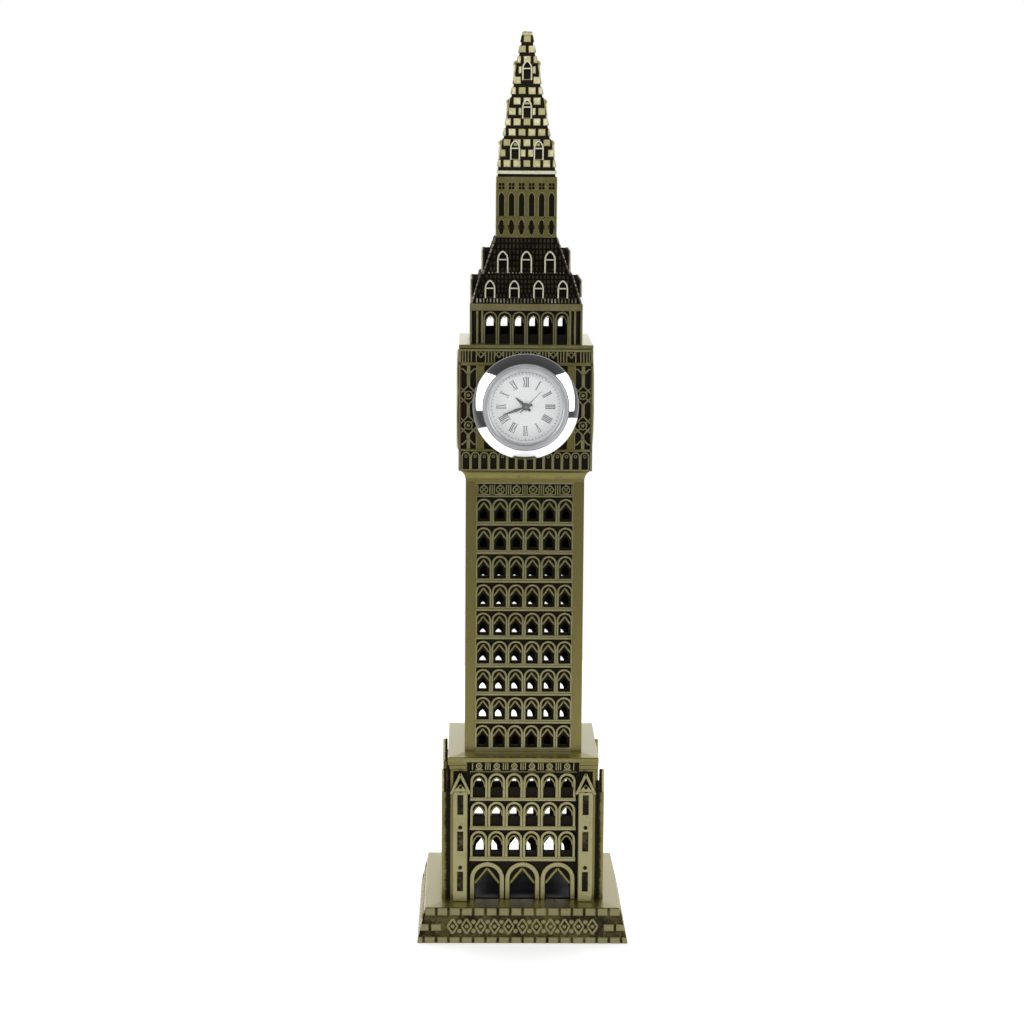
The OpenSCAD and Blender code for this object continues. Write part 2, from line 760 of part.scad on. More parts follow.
module quartz_can() {
    color("silver") insert() translate([-5.2, -3.6, bridge_back - 0.5 - 0.76]) rotate([-90, 0, 0])
        cylinder(r = 0.75, h = 5, $fn = FINE);
}

module battery() {
    color("gainsboro") insert() union() {
        disc_at(battery_xy, battery_r, battery_front - battery_t, battery_front - 0.3);
        disc_at(battery_xy, battery_r - 0.5, battery_front - battery_t, battery_front);
    }
}

module battery_spring() {
    spring_back = battery_front - battery_t - 0.25;
    color(GEAR) insert() translate([-6, battery_xy[1] - 0.8, spring_back]) union() {
        cube([9.5, 1.6, 0.25]);
        cube([1.8, 1.6, bridge_back - spring_back]);
    }
}

module coil() {
    color("peru") insert() difference() {
        translate([coil_x, coil_y0, core_front - core_t / 2]) rotate([-90, 0, 0])
            cylinder(r = coil_r, h = coil_y1 - coil_y0, $fn = FINE);
        translate([coil_x - core_w / 2, coil_y0 - 1, core_front - core_t])
            cube([core_w, coil_y1 - coil_y0 + 2, core_t]);
    }
}

module coil_core() {
    color(STEEL) insert() translate([coil_x - core_w / 2, coil_y0 - 1.3, core_front - core_t])
        cube([core_w, coil_y1 - coil_y0 + 2.6, core_t]);
}

// Plate that carries the coil's field round the rotor
module stator() {
    right = rotor_xy[0] + 0.3;
    left = coil_x + coil_r + 0.25;
    color(STEEL) insert() difference() {
        union() {
            translate([left, coil_y0 - 1.3, core_front]) cube([right - left, coil_y1 - coil_y0 + 2.6, 0.4]);
            disc_at(rotor_xy, 1.8, core_front, core_front + 0.4);
            for (y = [coil_y0 - 1.3, coil_y1 + 0.15]) translate([coil_x - core_w / 2, y, core_front])
                cube([left - coil_x + core_w / 2 + 0.1, 1.15, 0.4]);
        }
        disc_at(rotor_xy, 1.15, core_front - 1, core_front + 1);
        for (y = [coil_y0 - 0.65, coil_y1 + 0.65])
            disc_at([coil_x, y], post_r + run, core_front - 1, core_front + 1);
    }
}

// Shaft between the movement's two plates, with a short pivot in each
module arbor(xy, r = pivot_r) disc_at(xy, r, bridge_front - pivot_deep + 0.1, plate_back + pivot_deep - 0.1);

module rotor() {
    color("slategray") insert() union() {
        arbor(rotor_xy);
        disc_at(rotor_xy, 0.9, core_front - 0.2, core_front + 0.7);
        wheel(rotor_xy, 8, drive_module, rotor_angle + 180, -5.35, -4.8);
    }
}

module intermediate_wheel() {
    color(GEAR) insert() union() {
        arbor(intermediate_xy);
        wheel(intermediate_xy, 40, drive_module, rotor_angle + 4.5, -5.2, -4.9);
        wheel(intermediate_xy, 10, second_module, drive_angle + 180, -6, -5.4);
    }
}

// Runs through the tube of the centre wheel and carries the second hand
module second_wheel() {
    color(GEAR) insert() union() {
        disc(pivot_r, bridge_front - pivot_deep + 0.1, 1.5);
        wheel([0, 0], 60, second_module, drive_angle + 3, -5.9, -5.5);
        wheel([0, 0], 8, fine_module, 90, -5.1, -4.3);
    }
}

module third_wheel() {
    color(GEAR) insert() union() {
        arbor(third_xy);
        wheel(third_xy, 60, fine_module, -90 + 3, -4.9, -4.5);
        wheel(third_xy, 8, slow_module, -90, -3.75, -3.02);
    }
}

// Wheel and tube that turn once an hour
module centre_wheel() {
    color(GEAR) insert() difference() {
        union() {
            disc(tube_r, -3.7, 0.9);
            wheel([0, 0], 64, slow_module, 90 + 180 / 64, -3.5, -3.1);
        }
        disc(pivot_r + run, -5, 2);
    }
}

module cannon_pinion() {
    color(GEAR) insert() difference() {
        union() {
            disc(cannon_r, -1.8, 0.95);
            wheel([0, 0], 10, motion_module, minute_wheel_angle, -1.75, -1.2);
        }
        disc(tube_r, -3, 2);
    }
}

module minute_wheel() {
    color(GEAR) insert() difference() {
        union() {
            wheel(minute_wheel_xy, 30, motion_module, minute_wheel_angle + 180 + 6, -1.65, -1.3);
            wheel(minute_wheel_xy, 8, motion_module, minute_wheel_angle + 180, -1.3, -0.5);
        }
        disc_at(minute_wheel_xy, 0.3 + run, -2.5, 0);
    }
}

module hour_wheel() {
    color(GEAR) insert() difference() {
        union() {
            disc(hour_tube_r, -0.95, 0.5);
            wheel([0, 0], 32, motion_module, minute_wheel_angle + 180 / 32, -0.9, -0.55);
        }
        disc(cannon_r + run, -2, 2);
    }
}

// Stem with a pinion on the minute wheel and a knurled knob outside the rear cover
module setting_stem() {
    knob_z = -case_depth - knob_gap;
    color("silver") insert() union() {
        disc_at(stem_xy, stem_r, knob_z, -1.2);
        wheel(stem_xy, 10, motion_module, 180, -1.75, -1.2);
        translate([stem_xy[0], stem_xy[1], knob_z - 1.6]) linear_extrude(1.6)
            polygon([for (k = [0:47]) (k % 2 == 0 ? 2.6 : 2.4) * [cos(7.5 * k), sin(7.5 * k)]]);
    }
}

// ---- Hands ----

// Leaf-shaped hand: swells from the boss, narrows to its tip, and has a short flared tail
module hand(angle, reach, tail, width, boss_r, hole_r, back, front) {
    rotate([0, 0, -angle]) difference() {
        union() {
            translate([0, 0, back]) linear_extrude(front - back) polygon([
                [-width * 0.28, 0], [-width / 2, reach * 0.4], [-0.12, reach], [0.12, reach],
                [width / 2, reach * 0.4], [width * 0.28, 0], [width / 2, -tail], [-width / 2, -tail]
            ]);
            disc(boss_r, back, front);
        }
        disc(hole_r, back - 1, front + 1);
    }
}

module hour_hand() {
    color("darkslategray") insert() hand(hour_angle, 4.6, 2, 1, 1.35, hour_tube_r, 0.25, 0.45);
}

module minute_hand() {
    color("darkslategray") insert() hand(minute_angle, 8.4, 2.2, 0.9, 1.05, cannon_r, 0.75, 0.92);
}

module second_hand() {
    color("darkslategray") insert() hand(second_angle, 7.6, 2.7, 0.24, 0.7, pivot_r, 1.25, 1.38);
}

// ---- Assembly ----

base_pad();
base_plate();
base_screws();
deck_plate();
color(BRASS) side(FRONT) plinth_panel();  // plinth_front
color(BRASS) side(RIGHT) plinth_panel();  // plinth_right
color(BRASS) side(BACK) plinth_panel();  // plinth_back
color(BRASS) side(LEFT) plinth_panel();  // plinth_left
color(BRASS) side(FRONT) lower_wall();  // lower_wall_front
color(BRASS) side(RIGHT) lower_wall();  // lower_wall_right
color(BRASS) side(BACK) lower_wall();  // lower_wall_back
color(BRASS) side(LEFT) lower_wall();  // lower_wall_left
color(BRASS) side(FRONT) shaft_wall();  // shaft_wall_front
color(BRASS) side(RIGHT) shaft_wall();  // shaft_wall_right
color(BRASS) side(BACK) shaft_wall();  // shaft_wall_back
color(BRASS) side(LEFT) shaft_wall();  // shaft_wall_left
clock_wall_front();
color(BRASS) side(RIGHT) blind_clock_wall();  // clock_wall_right
color(BRASS) side(BACK) blind_clock_wall();  // clock_wall_back
color(BRASS) side(LEFT) blind_clock_wall();  // clock_wall_left
cornice_plate();
color(BRASS) side(FRONT) belfry_wall();  // belfry_wall_front
color(BRASS) side(RIGHT) belfry_wall();  // belfry_wall_right
color(BRASS) side(BACK) belfry_wall();  // belfry_wall_back
color(BRASS) side(LEFT) belfry_wall();  // belfry_wall_left
lower_roof();
upper_roof();
lantern();
spire();
spire_cap();
bezel();
crystal();
dial_ring();
dial();
insert_case();
grip_ring();
rear_cover();
movement_plate();
movement_bridge();
bridge_screws();
circuit_board();
quartz_can();
battery();
battery_spring();
coil();
coil_core();
stator();
rotor();
intermediate_wheel();
second_wheel();
third_wheel();
centre_wheel();
cannon_pinion();
minute_wheel();
hour_wheel();
setting_stem();
hour_hand();
minute_hand();
second_hand();
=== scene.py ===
"""Looks of the miniature clock tower: cast-brass storeys, clock insert, floor, light and camera.

Sizes are millimetres until a piece is made. Each storey takes its levels and its wall face from the
boxes of its CAD nodes, and the clock takes its place from the bezel's and the clock wall's.
"""

import json
import logging
import math
from contextlib import contextmanager
from dataclasses import dataclass, field
from enum import Enum
from typing import Callable, Iterator, Sequence

import bpy
from mathutils import Matrix, Vector


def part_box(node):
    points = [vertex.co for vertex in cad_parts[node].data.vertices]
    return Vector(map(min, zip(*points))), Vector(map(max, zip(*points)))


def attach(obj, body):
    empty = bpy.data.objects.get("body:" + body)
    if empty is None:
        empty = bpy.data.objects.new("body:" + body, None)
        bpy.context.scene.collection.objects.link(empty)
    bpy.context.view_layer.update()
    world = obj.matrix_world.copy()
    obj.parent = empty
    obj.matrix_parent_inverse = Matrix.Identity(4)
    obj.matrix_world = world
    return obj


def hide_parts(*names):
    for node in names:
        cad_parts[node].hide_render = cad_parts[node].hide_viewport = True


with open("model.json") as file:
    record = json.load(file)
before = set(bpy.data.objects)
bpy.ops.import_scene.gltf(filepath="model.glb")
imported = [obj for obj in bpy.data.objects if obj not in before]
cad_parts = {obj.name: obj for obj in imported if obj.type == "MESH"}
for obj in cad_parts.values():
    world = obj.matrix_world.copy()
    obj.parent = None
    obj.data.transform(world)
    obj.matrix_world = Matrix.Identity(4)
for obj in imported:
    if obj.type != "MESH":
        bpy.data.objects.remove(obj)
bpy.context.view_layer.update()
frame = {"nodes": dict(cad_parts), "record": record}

LOG = logging.getLogger("clock_tower")
MM = 0.001
Span = tuple[float, float]
Point = tuple[float, float]
Colour = tuple[float, float, float]
Test = Callable[[Vector, Vector], bool]
# Bareness of a casting at its ground and at its front: 0 is black patina, 1 and more is rubbed metal.
RAISED: Span = (0.0, 1.0)
SUNK: Span = (0.0, 0.12)
PLAIN: Span = (0.5, 0.64)
RING: Span = (0.2, 1.1)
# Distances in metres: two places that count as one, points that merge, and a point on a cutting plane.
NEAR = 1e-6
WELD = 1e-7
ON_PLANE = 1e-8
# Turn of each arc of an equilateral pointed head.
POINTED = math.radians(60)
# Width of a rib's front, and chamfers of a bar and of a stud, as shares of width, width and radius.
RIB_FRONT = 0.68
ROD_CHAMFER = 0.22
BOSS_CHAMFER = 0.3


class Side(Enum):
    """Sides of the tower, as quarter turns from the front."""

    FRONT = 0
    RIGHT = 1
    BACK = 2
    LEFT = 3

    @property
    def word(self) -> str:
        """Name of the side as the CAD nodes write it."""
        return self.name.lower()


# ---- Bench: primitives and edit-mode steps ----


def only(piece: bpy.types.Object) -> bpy.types.Object:
    """Makes a piece the only selected and active one, and returns it.

    Args:
        piece: The piece to select.

    Returns:
        The piece.
    """
    bpy.ops.object.select_all(action="DESELECT")
    piece.select_set(True)
    bpy.context.view_layer.objects.active = piece
    return piece


@contextmanager
def picked(piece: bpy.types.Object, test: Test) -> Iterator[None]:
    """Opens edit mode with only some faces selected.

    Args:
        piece: The mesh to edit.
        test: Says from a face's centre and normal, in metres, whether it is selected.

    Returns:
        A context in which edit-mode operators act on those faces.
    """
    only(piece)
    bpy.ops.object.mode_set(mode="EDIT")
    bpy.ops.mesh.select_mode(type="FACE")
    bpy.ops.mesh.select_all(action="DESELECT")
    bpy.ops.object.mode_set(mode="OBJECT")
    for face in piece.data.polygons:
        face.select = test(face.center, face.normal)
    bpy.ops.object.mode_set(mode="EDIT")
    yield
    bpy.ops.object.mode_set(mode="OBJECT")


def anywhere(centre: Vector, normal: Vector) -> bool:
    """Test that every face passes."""
    return True


def in_front(centre: Vector, normal: Vector) -> bool:
    """Test for faces that look to the front."""
    return normal.y < -0.9


def on_top(centre: Vector, normal: Vector) -> bool:
    """Test for faces that look up."""
    return normal.z > 0.9


def underneath(centre: Vector, normal: Vector) -> bool:
    """Test for faces that look straight down."""
    return normal.z < -0.99


def feet(height: float) -> Test:
    """Gives the test for faces that look straight down at a height in mm."""
    return lambda centre, normal: underneath(centre, normal) and abs(centre.z - height * MM) < NEAR


@contextmanager
def whole(piece: bpy.types.Object) -> Iterator[None]:
    """Opens edit mode with the whole mesh selected.

    Args:
        piece: The mesh to edit.

    Returns:
        A context in which edit-mode operators act on all of it.
    """
    with picked(piece, anywhere):
        bpy.ops.mesh.select_all(action="SELECT")
        yield


def settle() -> bpy.types.Object:
    """Applies place, turn and scale of the active piece to its mesh, and returns it."""
    piece = only(bpy.context.object)
    bpy.ops.object.transform_apply(location=True, rotation=True, scale=True)
    return piece


def bareness(piece: bpy.types.Object) -> bpy.types.Attribute:
    """Gives the attribute that says how bare the metal is at each point."""
    return piece.data.attributes.get("bare") or piece.data.attributes.new("bare", "FLOAT", "POINT")


def layers(face: float, relief: float, wall: float) -> tuple[float, float, float]:
    """Gives the depths of a wall's face, of its sunk ground and of its back."""
    return -face, -face + relief, -face + wall


def tone(piece: bpy.types.Object, front: float, back: float, levels: Span) -> bpy.types.Object:
    """Stores how bare the metal is: patina in the depth of the relief, brass on its front.

    Args:
        piece: The mesh to mark.
        front: Depth of the relief's front, in mm along y.
        back: Depth of its ground.
        levels: Bareness at the ground and at the front.

    Returns:
        The piece.
    """
    mark = bareness(piece)
    low, high = levels
    for vertex in piece.data.vertices:
        share = (back - vertex.co.y / MM) / max(back - front, 1e-6)
        mark.data[vertex.index].value = low + (high - low) * min(max(share, 0.0), 1.0)
    return piece


def block(x: Span, y: Span, z: Span, chamfer: float = 0.0, levels: Span = RAISED) -> bpy.types.Object:
    """Box between two corners with chamfered edges round its front.

    Args:
        x: Left and right ends.
        y: Front and back.
        z: Foot and top.
        chamfer: Width of the chamfer.
        levels: Bareness at the back and at the front.

    Returns:
        The new piece.
    """
    centre = [sum(s) / 2 * MM for s in (x, y, z)]
    size = [(s[1] - s[0]) * MM for s in (x, y, z)]
    bpy.ops.mesh.primitive_cube_add(size=1, location=centre)
    bpy.context.object.scale = size
    piece = settle()
    if chamfer:
        with picked(piece, in_front):
            bpy.ops.mesh.bevel(offset=chamfer * MM, segments=1, affect="EDGES")
    return tone(piece, y[0], y[1], levels)


def rod(start: Point, end: Point, width: float, y: Span, levels: Span = RAISED) -> bpy.types.Object:
    """Straight bar in the plane of a wall with a narrower front.

    Args:
        start: Its first end, x and z.
        end: Its other end.
        width: Width of the bar.
        y: Front and back.
        levels: Bareness at the back and at the front.

    Returns:
        The new piece.
    """
    run, rise = end[0] - start[0], end[1] - start[1]
    centre = ((start[0] + end[0]) / 2 * MM, (y[0] + y[1]) / 2 * MM, (start[1] + end[1]) / 2 * MM)
    bpy.ops.mesh.primitive_cube_add(size=1, location=centre, rotation=(0, -math.atan2(rise, run), 0))
    bpy.context.object.scale = (math.hypot(run, rise) * MM, (y[1] - y[0]) * MM, width * MM)
    piece = settle()
    with picked(piece, in_front):
        bpy.ops.mesh.bevel(offset=width * ROD_CHAMFER * MM, segments=1, affect="EDGES")
    return tone(piece, y[0], y[1], levels)


def rib_section(x: float, z: float, width: float, y: Span) -> bpy.types.Object:
    """Flat section of a rib, narrower in front, ready to be spun.

    Args:
        x: Middle of the section across the wall.
        z: Its height.
        width: Width of the rib at its back.
        y: Front and back.

    Returns:
        The new flat piece, with all of it selected.
    """
    bpy.ops.mesh.primitive_plane_add(size=1, location=(x * MM, sum(y) / 2 * MM, z * MM))
    bpy.context.object.scale = (width * MM, (y[1] - y[0]) * MM, 1)
    piece = settle()
    with picked(piece, anywhere):
        bpy.ops.mesh.select_mode(type="VERT")
        bpy.ops.mesh.select_all(action="DESELECT")
        bpy.ops.object.mode_set(mode="OBJECT")
        for vertex in piece.data.vertices:
            vertex.select = vertex.co.y < sum(y) / 2 * MM
        bpy.ops.object.mode_set(mode="EDIT")
        bpy.ops.transform.resize(value=(RIB_FRONT, 1, 1), center_override=(x * MM, y[0] * MM, z * MM))
        bpy.ops.mesh.select_all(action="SELECT")
    return piece


def mended(piece: bpy.types.Object) -> bpy.types.Object:
    """Merges doubles and turns all faces outwards.

    Args:
        piece: The mesh to edit.

    Returns:
        The piece.
    """
    with whole(piece):
        bpy.ops.mesh.remove_doubles(threshold=WELD)
        bpy.ops.mesh.normals_make_consistent(inside=False)
    return piece


def arch(foot: float, crown: float, radius: float, width: float, y: Span, steps: int,
         levels: Span = RAISED) -> bpy.types.Object:
    """Round-headed rib: half a ring on two legs, centred on x = 0.

    Args:
        foot: Foot of the legs.
        crown: Top of the ring.
        radius: Outer radius of the ring.
        width: Width of the rib.
        y: Front and back.
        steps: Segments of the half ring.
        levels: Bareness at the back and at the front.

    Returns:
        The new piece.
    """
    spring = crown - radius
    piece = rib_section(radius - width / 2, spring, width, y)
    with whole(piece):
        bpy.ops.mesh.spin(steps=steps, angle=math.pi, center=(0, 0, spring * MM), axis=(0, 1, 0))
    mended(piece)
    with picked(piece, feet(spring)):
        bpy.ops.mesh.extrude_region_move(TRANSFORM_OT_translate={"value": (0, 0, (foot - spring) * MM)})
    return tone(mended(piece), y[0], y[1], levels)


def peak(apex: float, span: float, width: float, y: Span, steps: int, levels: Span,
         leg: float = 0.0) -> bpy.types.Object:
    """Pointed head of a window: two thin arcs that meet over x = 0.

    Args:
        apex: Height of the inner point.
        span: Width between the feet of the arcs.
        width: Width of the rib.
        y: Front and back.
        steps: Segments of each arc.
        levels: Bareness at the back and at the front.
        leg: How far the rib goes on straight below the arcs.

    Returns:
        The new piece.
    """
    spring = apex - span * math.sin(POINTED)
    piece = rib_section(span / 2 + width / 2, spring, width, y)
    centre, past = (-span / 2 * MM, 0, spring * MM), width / span
    with whole(piece):
        bpy.ops.mesh.spin(steps=steps, angle=POINTED + past, center=centre, axis=(0, 1, 0))
    mended(piece)
    if leg:
        with picked(piece, feet(spring)):
            bpy.ops.mesh.extrude_region_move(TRANSFORM_OT_translate={"value": (0, 0, -leg * MM)})
    with whole(piece):
        bpy.ops.mesh.bisect(plane_co=(0, 0, 0), plane_no=(-1, 0, 0), clear_outer=True, use_fill=False)
    mirror = piece.modifiers.new("halves", "MIRROR")
    mirror.merge_threshold = NEAR
    bpy.ops.object.modifier_apply(modifier=mirror.name)
    return tone(mended(piece), y[0], y[1], levels)


def chevron(apex: float, reach: float, drop: float, width: float, y: Span,
            levels: Span = (0.1, 0.9)) -> bpy.types.Object:
    """Two straight bars that meet over x = 0.

    Args:
        apex: Height where they meet.
        reach: How far each goes out to its side.
        drop: How far each comes down.
        width: Width of the bars.
        y: Front and back.
        levels: Bareness at the back and at the front.

    Returns:
        The new piece.
    """
    return joined(mirrored(rod((-0.1, apex + 0.1), (reach, apex - drop), width, y, levels)))


def lancet(foot: float, apex: float, span: float, y: Span) -> bpy.types.Object:
    """Solid of a pointed opening, to cut with: where two cylinders meet, drawn down to its foot.

    Args:
        foot: Foot of the opening.
        apex: Height of its point.
        span: Width of the opening.
        y: Front and back.

    Returns:
        The new piece.
    """
    spring = apex - span * math.sin(POINTED)
    halves = []
    for end in (-1, 1):
        bpy.ops.mesh.primitive_cylinder_add(
            vertices=24, radius=span * MM, depth=(y[1] - y[0]) * MM,
            location=(end * span / 2 * MM, sum(y) / 2 * MM, spring * MM), rotation=(math.pi / 2, 0, 0))
        halves.append(settle())
    combine(halves[0], halves[1], "INTERSECT")
    with whole(halves[0]):
        bpy.ops.mesh.bisect(plane_co=(0, 0, spring * MM), plane_no=(0, 0, -1), clear_outer=True,
                            use_fill=True)
    with picked(halves[0], underneath):
        bpy.ops.mesh.extrude_region_move(TRANSFORM_OT_translate={"value": (0, 0, (foot - spring) * MM)})
    return mended(halves[0])


def drum(radius: float, y: Span, z: float, x: float, vertices: int = 16) -> bpy.types.Object:
    """Cylinder along y, between two depths.

    Args:
        radius: Radius of the cylinder.
        y: Front and back.
        z: Height of its axis.
        x: Place of its axis across the wall.
        vertices: Sides of the cylinder.

    Returns:
        The new piece, not yet toned.
    """
    bpy.ops.mesh.primitive_cylinder_add(
        vertices=vertices, radius=radius * MM, depth=(y[1] - y[0]) * MM,
        location=(x * MM, sum(y) / 2 * MM, z * MM), rotation=(math.pi / 2, 0, 0))
    return settle()


def boss(radius: float, y: Span, z: float, x: float, vertices: int,
         levels: Span = RAISED) -> bpy.types.Object:
    """Low round stud with a chamfered front.

    Args:
        radius: Radius of the stud.
        y: Front and back.
        z: Height of its middle.
        x: Place of its middle across the wall.
        vertices: Sides of the stud.
        levels: Bareness at the back and at the front.

    Returns:
        The new piece.
    """
    piece = drum(radius, y, z, x, vertices)
    with picked(piece, in_front):
        bpy.ops.mesh.bevel(offset=radius * BOSS_CHAMFER * MM, segments=1, affect="EDGES")
    return tone(piece, y[0], y[1], levels)


def loop(radius: float, width: float, y: Span, z: float, x: float = 0.0, steps: int = 14) -> bpy.types.Object:
    """Raised ring in the plane of a wall, flat in front and with sloped sides.

    Args:
        radius: Outer radius.
        width: Width of the ring at its back.
        y: Front and back.
        z: Height of its middle.
        x: Place of its middle across the wall.
        steps: Segments of the ring.

    Returns:
        The new piece.
    """
    piece = rib_section(radius - width / 2, z, width, y)
    with whole(piece):
        bpy.ops.mesh.spin(steps=steps, angle=2 * math.pi, center=(0, 0, z * MM), axis=(0, 1, 0))
    return moved(tone(mended(piece), y[0], y[1], RING), x=x)


def combine(piece: bpy.types.Object, tool: bpy.types.Object, how: str = "DIFFERENCE") -> bpy.types.Object:
    """Cuts one piece with another, or keeps what they share, and removes the tool.

    Args:
        piece: The piece that stays.
        tool: The piece that is used up.
        how: Kind of boolean, as Blender names it.

    Returns:
        The piece.
    """
    only(piece)
    cutting = piece.modifiers.new("cut", "BOOLEAN")
    cutting.operation = how
    cutting.object = tool
    cutting.solver = "EXACT"
    bpy.ops.object.modifier_apply(modifier=cutting.name)
    bpy.data.objects.remove(tool)
    return piece


def moved(piece: bpy.types.Object, x: float = 0.0, y: float = 0.0, z: float = 0.0) -> bpy.types.Object:
    """Shifts a piece's mesh by millimetres.

    Args:
        piece: The mesh to shift.
        x: Shift to the right.
        y: Shift to the back.
        z: Shift upwards.

    Returns:
        The piece.
    """
    piece.data.transform(Matrix.Translation(Vector((x, y, z)) * MM))
    return piece


def twin(piece: bpy.types.Object, matrix: Matrix = Matrix.Identity(4)) -> bpy.types.Object:
    """Copies a piece with its own mesh and puts the copy in place.

    Args:
        piece: The piece to copy.
        matrix: Place of the copy; a mirror turns the copy's faces round.

    Returns:
        The copy.
    """
    copy = piece.copy()
    copy.data = piece.data.copy()
    bpy.context.collection.objects.link(copy)
    copy.data.transform(matrix)
    if matrix.determinant() < 0:
        copy.data.flip_normals()
    return copy


def row(piece: bpy.types.Object, count: int, pitch: float) -> bpy.types.Object:
    """Repeats a piece along x, centred on the middle of the wall."""
    return moved(repeated(piece, count, (pitch, 0, 0)), x=-(count - 1) / 2 * pitch)


def repeated(piece: bpy.types.Object, count: int, step: Sequence[float]) -> bpy.types.Object:
    """Repeats a piece a number of times at a step in millimetres.

    Args:
        piece: The piece to repeat.
        count: Number of pieces.
        step: Shift from one to the next.

    Returns:
        The one piece that holds them all.
    """
    only(piece)
    copies = piece.modifiers.new("copies", "ARRAY")
    copies.count = count
    copies.use_relative_offset = False
    copies.use_constant_offset = True
    copies.constant_offset_displace = [v * MM for v in step]
    bpy.ops.object.modifier_apply(modifier=copies.name)
    return piece


def mirrored(piece: bpy.types.Object) -> list[bpy.types.Object]:
    """Gives a piece and its mirror image across the middle of the wall."""
    return [piece, twin(piece, Matrix.Scale(-1, 4, (1, 0, 0)))]


def mitre(piece: bpy.types.Object) -> bpy.types.Object:
    """Keeps what lies between the two corner mitres of the front.

    Args:
        piece: The piece to trim.

    Returns:
        The piece.
    """
    for across in (-1, 1):
        with whole(piece):
            bpy.ops.mesh.bisect(plane_co=(0, 0, 0), plane_no=(across, 1, 0), clear_outer=True, use_fill=True,
                                threshold=ON_PLANE)
    return piece


def joined(pieces: Sequence[bpy.types.Object]) -> bpy.types.Object:
    """Joins pieces into the first one.

    Args:
        pieces: The pieces, of which the first one stays.

    Returns:
        The first piece.
    """
    bpy.ops.object.select_all(action="DESELECT")
    for piece in pieces:
        piece.select_set(True)
    bpy.context.view_layer.objects.active = pieces[0]
    if len(pieces) > 1:
        bpy.ops.object.join()
    return pieces[0]


def leaned(piece: bpy.types.Object, y: float, z: float, inward: float, rise: float) -> bpy.types.Object:
    """Leans an upright piece back on its foot line, keeping its heights.

    Args:
        piece: The piece, modelled with its face in an upright plane.
        y: Depth of the foot line, in mm.
        z: Height of the foot line.
        inward: How far the slope goes back over its height.
        rise: Height of the slope.

    Returns:
        The piece.
    """
    tilt = math.atan2(inward, rise)
    foot = Vector((0, y, z)) * MM
    stretch = Matrix.Scale(1 / math.cos(tilt), 4, (0, 0, 1))
    turn = Matrix.Rotation(-tilt, 4, "X")
    piece.data.transform(Matrix.Translation(foot) @ turn @ stretch @ Matrix.Translation(-foot))
    return piece


def slab(width: Span, z: Span, chamfer: float = 0.0) -> bpy.types.Object:
    """Square block round the tower's axis that narrows upwards.

    Args:
        width: Width at the foot and at the top.
        z: Foot and top.
        chamfer: Width of a chamfer round the top edge, 0 for none.

    Returns:
        The new piece, not yet toned.
    """
    bpy.ops.mesh.primitive_cube_add(size=1, location=(0, 0, sum(z) / 2 * MM))
    bpy.context.object.scale = (width[0] * MM, width[0] * MM, (z[1] - z[0]) * MM)
    piece = settle()
    with picked(piece, on_top):
        taper = width[1] / width[0]
        bpy.ops.transform.resize(value=(taper, taper, 1), center_override=(0, 0, z[1] * MM))
        if chamfer:
            bpy.ops.mesh.bevel(offset=chamfer * MM, segments=1, affect="EDGES")
    return piece


def even(piece: bpy.types.Object, level: float) -> bpy.types.Object:
    """Marks a piece as equally bare all over.

    Args:
        piece: The mesh to mark.
        level: Its bareness.

    Returns:
        The piece.
    """
    for item in bareness(piece).data:
        item.value = level
    return piece


# ---- Finishes ----


